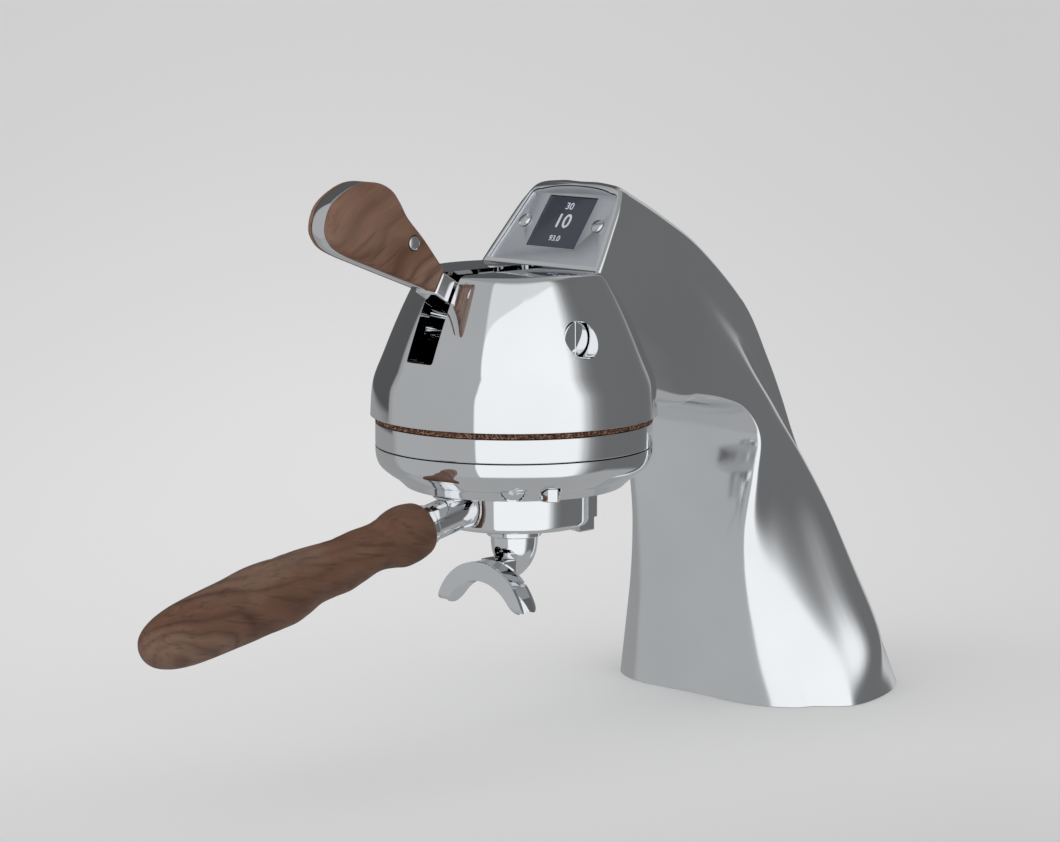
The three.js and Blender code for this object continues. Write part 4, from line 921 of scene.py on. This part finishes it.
def make_group():
    """The chrome band, the cup under it, the cork ring and the bayonet ring."""
    cork = spun("cork_ring_band", rounded([
        (53, 150.0), (65.1, 150.0, 0.5), (65.1, CORK_TOP, 0.5), (53, CORK_TOP),
    ]), 256)
    settle(cork, "tap", "cork", finish_of("Cork"), "cork_ring", angle=60)
    band = spun("group_band", rounded([
        (0, 139.7), (37.2, 139.7), (37.2, 131.3), (44.6, 131.3), (44.6, SEAM),
        (HEAD_RADIUS, SEAM, 0.5), (HEAD_RADIUS, HEAD_TOP, 0.5), (52, HEAD_TOP),
        (52, BOSS_TOP), (0, BOSS_TOP),
    ]), 192)
    tools = [rod("hole", 2.7, (0, 0, 136.7), (0, 0, 150.1), 24),
             rod("hole", 2.5, (-9, 24, 136.7), (-9, 24, 160), 24),
             rod("hole", 2.3, (-22, 6, 149.4), (-22, 6, 160), 24)]
    for k in range(4):
        a = k * math.pi / 2
        x, y = on_circle(HEAD_BOLT_CIRCLE, a)
        tools.append(rod("hole", 2.8, (x, y, SEAM), (x, y, 160), 24))
        tools.append(rod("hole", 4.55, (x, y, SEAM - GAP), (x, y, SEAM + 5.6), 32))
        x, y = on_circle(CUP_SCREW_CIRCLE, a + math.pi / 4)
        tools.append(rod("hole", 2.8, (x, y, SEAM - 3), (x, y, SEAM + 8.8), 24))
    combine(band, "DIFFERENCE", *tools)
    settle(band, "tap", "chrome", finish_of("Chrome"), "group_head")

    cup = spun("group_cup", cup_outline(), 192)
    tools = []
    for k in range(4):
        x, y = on_circle(CUP_SCREW_CIRCLE, math.radians(45 + 90 * k))
        tools.append(rod("recess", 5.5, (x, y, 115), (x, y, 131.4), 48))
        tools.append(rod("hole", 2.8, (x, y, 118), (x, y, 142), 24))
    x, y = on_circle(PLUG_CIRCLE, PLUG_ANGLE)
    tools.append(rod("recess", 5.1, (x, y, 115), (x, y, 126.3), 48))
    tools.append(rod("hole", 3.3, (x, y, 118), (x, y, 134.3), 24))
    combine(cup, "DIFFERENCE", *tools)
    settle(cup, "tap", "chrome", finish_of("Chrome"), "group_cap")

    ring = spun("lock_ring", rounded([
        (37.2, CAP_BOTTOM, 0.4), (46.6, CAP_BOTTOM, 0.4), (46.6, 121.6), (49.5, 121.6),
        (49.5, CAP_TOP), (45.2, CAP_TOP), (45.2, 122.8), (37.2, 122.8, 0.6),
    ]), 160)
    ears = box("ears", (-13.5, -45.2, 115), (13.5, 45.2, 126), Matrix.Rotation(
        math.radians(-45), 4, "Z"))
    combine(ears, "INTERSECT", disc("round", 45.2, 115, CAP_TOP, 160))
    combine(ring, "DIFFERENCE", ears)
    settle(ring, "tap", "steel", finish_of("Steel"), "bayonet_ring")


def make_cap_screws():
    """The four screws, whose long heads end flush with the cup, and the hexagon plug."""
    spot = Matrix.Translation((CUP_SCREW_CIRCLE, 0, 0))
    screw = disc("model", 5.15, 117, 131.1, 64, spot)
    combine(screw, "INTERSECT", spun("cup", cup_outline(0.35), 192))
    combine(screw, "UNION", disc("shank", 2.5, 130, 147.2, 48, spot))
    combine(screw, "DIFFERENCE", disc("socket", 2.2, 117, 126.4, 6, spot))
    own_model(screw)
    places = [place_at((0, 0, 0), (0, 0, 45 + 90 * k)) for k in range(4)]
    screws = fasteners("cap_screws", screw, places, finish_of("Chrome"))
    settle(screws, "tap", "steel", finish_of("Chrome"),
           *["cap_screw_%d" % k for k in (1, 2, 3, 4)])
    spot = Matrix.Translation((*on_circle(PLUG_CIRCLE, PLUG_ANGLE), 0))
    plug = disc("hexagon_plug", 4.8, 119.8, 126, 6, spot)
    soften(plug, 0.5, 2)
    combine(plug, "UNION", disc("shank", 3, 125.5, 134, 32, spot))
    combine(plug, "DIFFERENCE", disc("dimple", 1.6, 119, 120.6, 32, spot))
    settle(plug, "tap", "chrome", finish_of("Chrome"), "cap_plug")


def make_pivot_screws():
    """The two slotted screws that carry the lever."""
    screw = spun("model", rounded([
        (0, 1), (4, 1, 0.5), (4, 47.5), (7.85, 47.5, 0.4), (7.85, PIVOT_END, 0.9), (0, PIVOT_END),
    ]), 96)
    combine(screw, "DIFFERENCE", box("slot", (-0.8, -12, 50.2), (0.8, 12, 54)))
    own_model(screw)
    places = []
    for side in (-1, 1):
        turn = Matrix.Rotation(side * math.pi / 2, 4, "Y") @ Matrix.Rotation(math.pi / 2, 4, "Z")
        places.append(place_at(PIVOT) @ turn)
    screws = fasteners("pivot_screws", screw, places, finish_of("Chrome"))
    settle(screws, "tap", "satin_chrome", finish_of("Chrome"), "pivot_screw_left",
           "pivot_screw_right")


def paddle_outline(inset=0.0):
    points = [(TANG_REACH + a * PADDLE_LENGTH, r * PADDLE_RISE, 0) for a, r in PADDLE]
    line = smooth_line(points, 6)
    if inset:
        count = len(line)
        moved = []
        for i, p in enumerate(line):
            side = (line[min(i + 1, count - 1)] - line[max(i - 1, 0)]).normalized()
            moved.append(p + Vector((-side.y, side.x, 0)) * inset)
        line = moved
    return [(p.x, p.y) for p in line]


def make_lever():
    """The lever's arm with its core, the two wooden scales and the rivet."""
    lever = lever_place()
    bar = soften(box("bar", (0, -5.6, -7), (50.2, 5.6, 7), lever), 1.2)
    arm = slab("lever_arm", paddle_outline(), -4.2, 4.2, lever)
    soften(arm, 0.4, 2, 60)
    tongue = box("tongue", (47.5, -4.7, -3.1), (53.5, 5.5, 3.1), lever)
    hub = disc("hub", 12, -7, 7, 96, lever)
    soften(hub, 0.6, 2, 60)
    combine(arm, "UNION", tongue, bar, hub)
    rivet = lever @ Matrix.Translation((RIVET_ALONG, RIVET_RISE, 0))
    combine(arm, "DIFFERENCE", disc("bore", 7.3, -12, 12, 64, lever),
            disc("bore", RIVET_BORE, -12, 12, 48, rivet))
    settle(arm, "lever", "satin_chrome", finish_of("Chrome"), "lever_tang")
    for side, name in ((1, "left"), (-1, "right")):
        low, high = (4.5, 8.1) if side > 0 else (-8.1, -4.5)
        scale = slab("lever_scale_wood_" + name, paddle_outline(), low, high, lever)
        work = bmesh.new()
        work.from_mesh(scale.data)
        outer = lever.inverted() @ Matrix.Translation((0, REACH, 0))
        face = high if side > 0 else low
        edges = [e for e in work.edges if all(
            abs((outer @ (v.co / MM)).z - face) < 0.01 for v in e.verts)]
        bmesh.ops.bevel(work, geom=edges, offset=2.6 * MM, segments=5, profile=0.5,
                        affect="EDGES", clamp_overlap=True)
        work.to_mesh(scale.data)
        work.free()
        combine(scale, "DIFFERENCE", disc("bore", RIVET_BORE, -14, 14, 48, rivet))
        settle(scale, "lever", "walnut", finish_of("Lever walnut"), "lever_scale_" + name)
    dome = [(3.35, 8.0), (3.1, 8.45), (2.2, 8.75), (0, 8.85)]
    outline = [(0, -8.85)] + [(r, -h) for r, h in reversed(dome[:-1])] + dome
    pin = spun("lever_rivet_dome", outline, 64, rivet)
    settle(pin, "lever", "steel", finish_of("Satin chrome"), "lever_rivet")


def waist(name, sections, centre):
    """A block whose rounded section changes with height: (height, half x, half y) rows."""
    rings = []
    for height, hx, hy in sections:
        ring = []
        for k in range(64):
            a = 2 * math.pi * k / 64
            c, s = math.cos(a), math.sin(a)
            ring.append((centre[0] + hx * math.copysign(abs(c) ** 0.6, c),
                         centre[1] + hy * math.copysign(abs(s) ** 0.6, s), height))
        rings.append(ring)
    return skin(name, rings)


def make_portafilter():
    """The chromed bowl with its ears, lugs and neck."""
    bowl = spun("portafilter_bowl", rounded([
        (7.3, BOWL_BOTTOM, 0.3), (35, BOWL_BOTTOM, 2.8), (35, BOWL_TOP, 0.4), (31.8, BOWL_TOP, 0.4),
        (31.8, 107, 1.5), (7.3, 107),
    ]), 160)
    neck = disc("neck", 8.6, -9, 19.7, 96, handle_place())
    collar = spun("collar", rounded([
        (0, 15.6), (9.6, 15.6, 0.5), (9.6, 19.7, 0.5), (0, 19.7),
    ]), 96, handle_place())
    lug = waist("lug", [
        (104, 6.4, 6.6), (110, 6.4, 6.6), (112.6, 5.9, 5.9), (114.4, 5.9, 5.6), (115.8, 6.8, 6.2),
        (116.9, 8.3, 7.4), (117.4, 9.2, 8.1), (117.9, 9.3, 8.2), (UNDER_GROUP, 9.1, 8),
    ], (0, -38.6))
    rear = box("rear", (-12, 31, 93.6), (12, 42, UNDER_GROUP))
    step = box("step", (-12, 31, 99.6), (12, 44, UNDER_GROUP))
    for block in (rear, step):
        soften(block, 0.7)
    ears = box("ears", (-12, -48, 123.1), (12, 48, 128.5))
    combine(ears, "INTERSECT", disc("round", 44.6, 101, 140, 160))
    combine(rear, "UNION", step)
    outer = disc("outer", 34, 90, 135, 160)
    combine(rear, "DIFFERENCE", outer)
    for arm in (neck, lug, ears, collar):
        combine(arm, "DIFFERENCE", disc("outer", 33, 90, 135, 160))
    combine(bowl, "UNION", neck, lug, rear, ears, collar)
    combine(bowl, "DIFFERENCE", disc("bore", HANDLE_BORE, 9.4, 23, 48, handle_place()))
    settle(bowl, "portafilter", "chrome", finish_of("Chrome"), "portafilter_body")


def make_spout():
    """The spout's stem and the open double spout."""
    stem_points = [(r * STEM_RADIUS, STEM_START - d * STEM_DROP) for r, d in STEM_SHARES]
    stem = spun("spout_elbow", [
        (0, STEM_TOP), (7, STEM_TOP), (7, RING_TOP), (RING_RADIUS - RING_EDGE, RING_TOP),
        (RING_RADIUS, RING_TOP - RING_EDGE), (RING_RADIUS, RING_BOTTOM + RING_EDGE),
        (RING_RADIUS - RING_EDGE, RING_BOTTOM), (STEM_RADIUS, RING_BOTTOM),
    ] + softened([(STEM_RADIUS, RING_BOTTOM - 0.2)] + stem_points[1:], 2), 128)
    combine(stem, "DIFFERENCE", rod("bore", 3.5, (0, 0, 84.8), (0, 0, 110), 48),
            rod("outlet", 3, (0, 0, 87.8), (0, -20, 87.8), 48))
    settle(stem, "portafilter", "chrome", finish_of("Chrome"), "spout_stem")

    def level(name, radius, height, near, far):
        return rod(name, radius, (0, -near, height), (0, -far, height), 192)

    inner = SPOUT_TOP - SPOUT_THICKNESS - SPOUT_INNER
    arch = level("twin_spout", SPOUT_RADIUS, SPOUT_TOP - SPOUT_RADIUS, SPOUT_BACK, SPOUT_FRONT)
    middle = -(SPOUT_BACK + SPOUT_FRONT) / 2
    tips = rod("tips", 5.001, (-31, middle, TIP_HEIGHT), (31, middle, TIP_HEIGHT), 96)
    combine(tips, "UNION", box("room", (-31, -24, TIP_HEIGHT), (31, -12, 90)))
    ends = box("above", (-31, -27, END_HEIGHT), (31, -10, 90))
    for side in (-1, 1):
        x = side * END_SIDE
        end = rod("end", END_RADIUS, (x, -10, END_HEIGHT), (x, -27, END_HEIGHT), 96)
        combine(ends, "UNION", end)
    combine(arch, "INTERSECT", tips, ends)
    combine(arch, "DIFFERENCE", level("inner", SPOUT_INNER, inner, 10, 27))
    soften(arch, 0.9, 4, 45)
    channel = box("channel", (-35, -21.6, 58), (35, -14.8, 90))
    combine(channel, "DIFFERENCE", level("floor", SPOUT_INNER + SPOUT_WALL, inner, 0, 27))
    combine(arch, "DIFFERENCE", channel)
    saddle = box("saddle", (-7.5, -14.8, 75.9), (7.5, -5.5, SPOUT_TOP))
    soften(saddle, 0.8)
    room = [(0, 99)] + [(r + GAP if r else 0, z - (0 if r else GAP)) for r, z in stem_points]
    room.insert(1, (11.4, 99))
    combine(saddle, "DIFFERENCE", spun("stem", room, 96))
    combine(arch, "UNION", saddle)
    settle(arch, "portafilter", "chrome", finish_of("Chrome"), "spout_arch")


def make_handle():
    """The carved wooden handle, whose sides twist as it leaves the neck."""
    looks = bpy.context.scene.tap_finishes
    line = smooth_line([(a, r, 0) for a, r in HANDLE_SHARES], 6)
    sides = 120
    rings = []
    for point in line[:-1]:
        along, radius = point.x, max(point.y, 0.02) * HANDLE_RADIUS
        fade = max(0.0, min(1.0, (along - 0.04) / 0.1)) * max(0.0, min(1.0, (0.72 - along) / 0.3))
        ring = []
        for k in range(sides):
            angle = 2 * math.pi * k / sides
            wave = math.cos(3 * angle - looks.handle_twist * along + looks.handle_phase)
            swell = 1 + looks.handle_carve * fade * (abs(wave) ** 1.5 * math.copysign(1, wave))
            ring.append((radius * swell * math.cos(angle), radius * swell * math.sin(angle),
                         HANDLE_START + along * HANDLE_LENGTH))
        rings.append(ring)
    tip = HANDLE_START + HANDLE_LENGTH
    rings.append([(0.15 * math.cos(2 * math.pi * k / sides), 0.15 * math.sin(2 * math.pi * k / sides),
                   tip) for k in range(sides)])
    grip = skin("handle_grip", rings, handle_place())
    bore = disc("bore", HANDLE_BORE, 18, 78.3, 48, handle_place())
    combine(grip, "DIFFERENCE", bore)
    settle(grip, "portafilter", "walnut", finish_of("Handle walnut"), "handle_wood", angle=50)


def finish_kept_nodes():
    """Gives the CAD nodes that stay their finishes."""
    looks = {
        "steel": "Steel", "brass": "Brass", "copper": "Copper", "rubber": "Rubber",
        "circuit": "Circuit", "sheath": "Cable sheath", "chrome": "Chrome", "cork": "Cork",
        "satin_chrome": "Satin chrome", "slate": "Screen", "walnut": "Handle walnut",
    }
    for part in frame["record"]["subparts"]:
        node = frame["nodes"][part["node"]]
        material = finish_of(looks[part["material_slot"]])
        node.data.materials.clear()
        node.data.materials.append(material)


# Stage

def studio_world(azimuth):
    """A light tent: a white panel with a rounded top in front, grey walls and dark corners."""
    world = bpy.data.worlds.new("Studio")
    bpy.context.scene.world = world
    world.use_nodes = True
    nodes, links = world.node_tree.nodes, world.node_tree.links
    nodes.clear()

    def sum_of(operation, *values):
        return math_of(nodes, links, operation, *values)

    def between(value, start, end, low=0.0, high=1.0, kind="SMOOTHSTEP"):
        return range_of(nodes, links, value, start, end, low, high, kind)

    def mix(factor, first, second):
        """A colour between two colours or other nodes' outputs."""
        node = nodes.new("ShaderNodeMix")
        node.data_type = "RGBA"
        for socket, value in (("Factor", factor), ("A", first), ("B", second)):
            if isinstance(value, tuple):
                node.inputs[socket].default_value = value
            else:
                links.new(value, node.inputs[socket])
        return node.outputs["Result"]

    def grey(value):
        return (value, value * 1.02, value * 1.04, 1)

    direction = nodes.new("ShaderNodeTexCoord").outputs["Generated"]
    turn = nodes.new("ShaderNodeVectorRotate")
    turn.rotation_type = "Z_AXIS"
    turn.inputs["Angle"].default_value = -azimuth
    links.new(direction, turn.inputs["Vector"])
    split = nodes.new("ShaderNodeSeparateXYZ")
    links.new(turn.outputs["Vector"], split.inputs["Vector"])
    forward = sum_of("MULTIPLY", split.outputs["Y"], -1)
    side = sum_of("DEGREES", sum_of("ARCTAN2", split.outputs["X"], forward))
    height = sum_of("DEGREES", sum_of("ARCSINE", split.outputs["Z"]))

    round_share = sum_of("MULTIPLY_ADD", side, 1 / 360, 0.5)
    walls = ramp(nodes, links, round_share, [
        (degrees / 360 + 0.5, grey(value)) for degrees, value in WALL_STOPS])
    shade = sum_of("MULTIPLY", between(side, -117.5, -121), between(height, -6.5, -4.5))
    walls = mix(shade, walls, grey(0.09))
    rise = between(height, 34, 46, kind="LINEAR")
    edge = sum_of("MULTIPLY_ADD", sum_of("POWER", rise, 3), 44, -31.5)
    inside = between(sum_of("SUBTRACT", side, edge), -1, 1)
    panel = sum_of("MULTIPLY", inside, between(side, 60, 52))
    panel = sum_of("MULTIPLY", panel, between(height, 47, 45.5))
    walls = mix(panel, walls, grey(0.965))
    ground = sum_of("SUBTRACT", height, between(side, 45, 85, -39, -24.5, kind="LINEAR"))
    walls = mix(between(ground, -3.5, 3.5), grey(0.37), walls)
    tent = mix(between(height, 52, 60), walls, grey(0.32))
    path = nodes.new("ShaderNodeLightPath")
    mirrors = sum_of("ADD", path.outputs["Is Glossy Ray"], path.outputs["Is Transmission Ray"])
    front = between(sum_of("ABSOLUTE", side), 110, 40)
    soft = mix(front, (0.72, 0.72, 0.72, 1), (1.0, 1.0, 1.0, 1))
    soft = mix(between(height, 10, 60), soft, (0.58, 0.58, 0.58, 1))
    seen = mix(mirrors, soft, tent)
    shown = mix(path.outputs["Is Camera Ray"], seen, (0.6, 0.6, 0.6, 1))
    background = nodes.new("ShaderNodeBackground")
    links.new(shown, background.inputs["Color"])
    out = nodes.new("ShaderNodeOutputWorld")
    links.new(background.outputs["Background"], out.inputs["Surface"])


def floor_material(camera_foot, azimuth, camera_height):
    """Pale grey that is a little lighter behind the handle, as round a soft light."""
    material, nodes, links, shader = new_material("Pale floor")
    coordinates = nodes.new("ShaderNodeTexCoord").outputs["Object"]
    align = nodes.new("ShaderNodeMapping")
    align.vector_type = "TEXTURE"
    align.inputs["Location"].default_value = camera_foot
    align.inputs["Rotation"].default_value = (0, 0, azimuth)
    links.new(coordinates, align.inputs["Vector"])
    split = nodes.new("ShaderNodeSeparateXYZ")
    links.new(align.outputs["Vector"], split.inputs["Vector"])
    ahead = math_of(nodes, links, "MAXIMUM", split.outputs["Y"], 0.6)
    fall = math_of(nodes, links, "DIVIDE", camera_height, ahead)
    spot = nodes.new("ShaderNodeCombineXYZ")
    links.new(math_of(nodes, links, "DIVIDE", split.outputs["X"], ahead), spot.inputs["X"])
    links.new(fall, spot.inputs["Y"])
    centre = nodes.new("ShaderNodeMapping")
    centre.vector_type = "TEXTURE"
    centre.inputs["Location"].default_value = (-0.05, 0.15, 0)
    centre.inputs["Scale"].default_value = (0.22, 0.2, 1)
    links.new(spot.outputs["Vector"], centre.inputs["Vector"])
    # Painted light: a soft pool of light in the floor's colour, lightest round a spot behind the
    # handle
    painted_light_pool = nodes.new("ShaderNodeTexGradient")
    painted_light_pool.gradient_type = "SPHERICAL"
    links.new(centre.outputs["Vector"], painted_light_pool.inputs["Vector"])
    tone = ramp(nodes, links, painted_light_pool.outputs["Fac"], [(0.0, 0.825), (1.0, 0.97)])
    # Painted shade: the floor's colour darkens towards the camera
    near = ramp(nodes, links, fall, [(0.08, 1.0), (0.21, 1.0), (0.24, 0.98), (0.27, 0.885)])
    links.new(multiplied(nodes, links, tone, near), shader.inputs["Base Color"])
    shader.inputs["Roughness"].default_value = 0.9
    shader.inputs["Specular IOR Level"].default_value = 0.0
    seen = nodes.new("ShaderNodeLightPath").outputs["Is Camera Ray"]
    shader.inputs["Emission Color"].default_value = (1, 1, 1, 1)
    links.new(math_of(nodes, links, "MULTIPLY", seen, FLOOR_LIFT),
              shader.inputs["Emission Strength"])
    return material


def make_stage():
    """The camera, the light tent, two soft lamps and the pale floor."""
    scene = bpy.context.scene
    azimuth, pitch = CAMERA_AZIMUTH, CAMERA_PITCH
    right = Vector((math.cos(azimuth), math.sin(azimuth), 0))
    back = Vector((math.sin(azimuth) * math.cos(pitch), -math.cos(azimuth) * math.cos(pitch),
                   math.sin(pitch)))
    target = (right * CAMERA_SIDE + Vector((0, -REACH, CAMERA_HEIGHT))) * MM
    camera = bpy.data.objects.new("Camera", bpy.data.cameras.new("Camera"))
    scene.collection.objects.link(camera)
    camera.location = target + back * CAMERA_DISTANCE * MM
    camera.rotation_mode = "QUATERNION"
    camera.rotation_quaternion = (-back).to_track_quat("-Z", "Y")
    camera.data.sensor_width = 36.0
    camera.data.lens = CAMERA_LENS
    camera.data.clip_start, camera.data.clip_end = 0.05, 200.0
    scene.camera = camera
    studio_world(azimuth)
    for name, place, power, size in (
        ("Key lamp", (-0.4, -2.2, 1.2), 10.0, 1.8), ("Fill lamp", (2.2, -1.4, 0.9), 6.0, 1.8),
    ):
        lamp = bpy.data.lights.new(name, "AREA")
        lamp.energy, lamp.size = power, size
        obj = bpy.data.objects.new(name, lamp)
        obj.location = place
        obj.rotation_euler = (target - Vector(place)).to_track_quat("-Z", "Y").to_euler()
        obj.visible_glossy = False
        scene.collection.objects.link(obj)
    mesh = bpy.data.meshes.new("Floor")
    half = FLOOR_HALF
    corners = [(-half, -half, 0), (half, -half, 0), (half, half, 0), (-half, half, 0)]
    mesh.from_pydata(corners, [], [(0, 1, 2, 3)])
    floor = link("Floor", mesh)
    floor.location.z = -FLOOR_DROP
    foot = (camera.location.x, camera.location.y, 0)
    mesh.materials.append(floor_material(foot, azimuth, camera.location.z))
    floor.visible_glossy = False
    scene.view_settings.view_transform = "Standard"


# Add-on

class TapFinishes(bpy.types.PropertyGroup):
    """Colours and sizes of the tap's visible detail."""

    chrome_tint: bpy.props.FloatVectorProperty(
        name="Chrome tint", description="Colour that the chrome gives its reflections",
        subtype="COLOR", default=(0.9, 0.91, 0.92), min=0, max=1)
    chrome_roughness: bpy.props.FloatProperty(
        name="Chrome roughness", description="Blur of the chrome's reflections",
        subtype="FACTOR", default=0.022, min=0, max=1)
    column_blur: bpy.props.FloatProperty(
        name="Column blur", description="How much duller the column is polished than the bell",
        subtype="FACTOR", default=0.11, min=0, max=1)
    wood_dark: bpy.props.FloatVectorProperty(
        name="Dark grain", description="Colour of the walnut's dark bands",
        subtype="COLOR", default=(0.066, 0.031, 0.021), min=0, max=1)
    wood_warm: bpy.props.FloatVectorProperty(
        name="Warm grain", description="Colour of the walnut's red-brown areas",
        subtype="COLOR", default=(0.138, 0.068, 0.043), min=0, max=1)
    wood_light: bpy.props.FloatVectorProperty(
        name="Light grain", description="Colour of the walnut's tan areas",
        subtype="COLOR", default=(0.182, 0.108, 0.076), min=0, max=1)
    figure_count: bpy.props.FloatProperty(
        name="Figure", description="How many veins of grain the swirls of the wood hold",
        default=12.0, min=1, max=100)
    cork_dark: bpy.props.FloatVectorProperty(
        name="Dark cork", description="Colour of the darkest cork grains",
        subtype="COLOR", default=(0.018, 0.009, 0.007), min=0, max=1)
    cork_light: bpy.props.FloatVectorProperty(
        name="Light cork", description="Colour of the lightest cork grains",
        subtype="COLOR", default=(0.36, 0.19, 0.12), min=0, max=1)
    screen_colour: bpy.props.FloatVectorProperty(
        name="Screen", description="Colour of the display's window",
        subtype="COLOR", default=(0.04, 0.043, 0.064), min=0, max=1)
    shown_number: bpy.props.IntProperty(
        name="Number", description="Number in the middle of the display",
        default=10, min=0, max=99)
    handle_carve: bpy.props.FloatProperty(
        name="Carving", description="Depth of the handle's twisted sides against its radius",
        subtype="FACTOR", default=0.05, min=0, max=0.2)
    handle_twist: bpy.props.FloatProperty(
        name="Twist", description="Turn of the handle's sides over its whole length, three times",
        subtype="ANGLE", default=30.0)
    handle_phase: bpy.props.FloatProperty(
        name="Start of the twist", description="Where the carved sides start round the neck",
        subtype="ANGLE", default=0.0)


def operator(name, label, work):
    """An operator class for one piece or group of pieces."""

    def execute(self, context):
        work()
        return {"FINISHED"}

    return type("TAP_OT_" + name, (bpy.types.Operator,), {
        "__doc__": work.__doc__, "bl_idname": "tap." + name, "bl_label": label,
        "bl_options": {"REGISTER", "UNDO"}, "execute": execute,
    })


STEPS = [
    operator("stage", "Stage", make_stage),
    operator("kept_nodes", "Kept pieces", finish_kept_nodes),
    operator("shell", "Bell and column", make_shell),
    operator("display", "Display", make_display),
    operator("group", "Group", make_group),
    operator("cap_screws", "Cap screws", make_cap_screws),
    operator("pivot_screws", "Pivot screws", make_pivot_screws),
    operator("lever", "Lever", make_lever),
    operator("portafilter", "Portafilter", make_portafilter),
    operator("spout", "Spout", make_spout),
    operator("handle", "Handle", make_handle),
]


class TAP_PT_panel(bpy.types.Panel):
    """Lists the tap's finishes and pieces."""

    bl_label = "Espresso tap"
    bl_idname = "TAP_PT_panel"
    bl_space_type = "VIEW_3D"
    bl_region_type = "UI"
    bl_category = "Espresso tap"

    def draw(self, context):
        for name in TapFinishes.__annotations__:
            self.layout.prop(context.scene.tap_finishes, name)
        for step in STEPS:
            self.layout.operator(step.bl_idname)


def register():
    for kind in [TapFinishes, *STEPS, TAP_PT_panel]:
        bpy.utils.register_class(kind)
    bpy.types.Scene.tap_finishes = bpy.props.PointerProperty(type=TapFinishes)


def unregister():
    del bpy.types.Scene.tap_finishes
    for kind in [TAP_PT_panel, *reversed(STEPS), TapFinishes]:
        bpy.utils.unregister_class(kind)


def main():
    register()
    for step in STEPS:
        group, name = step.bl_idname.split(".")
        getattr(getattr(bpy.ops, group), name)()


if __name__ == "__main__":
    main()
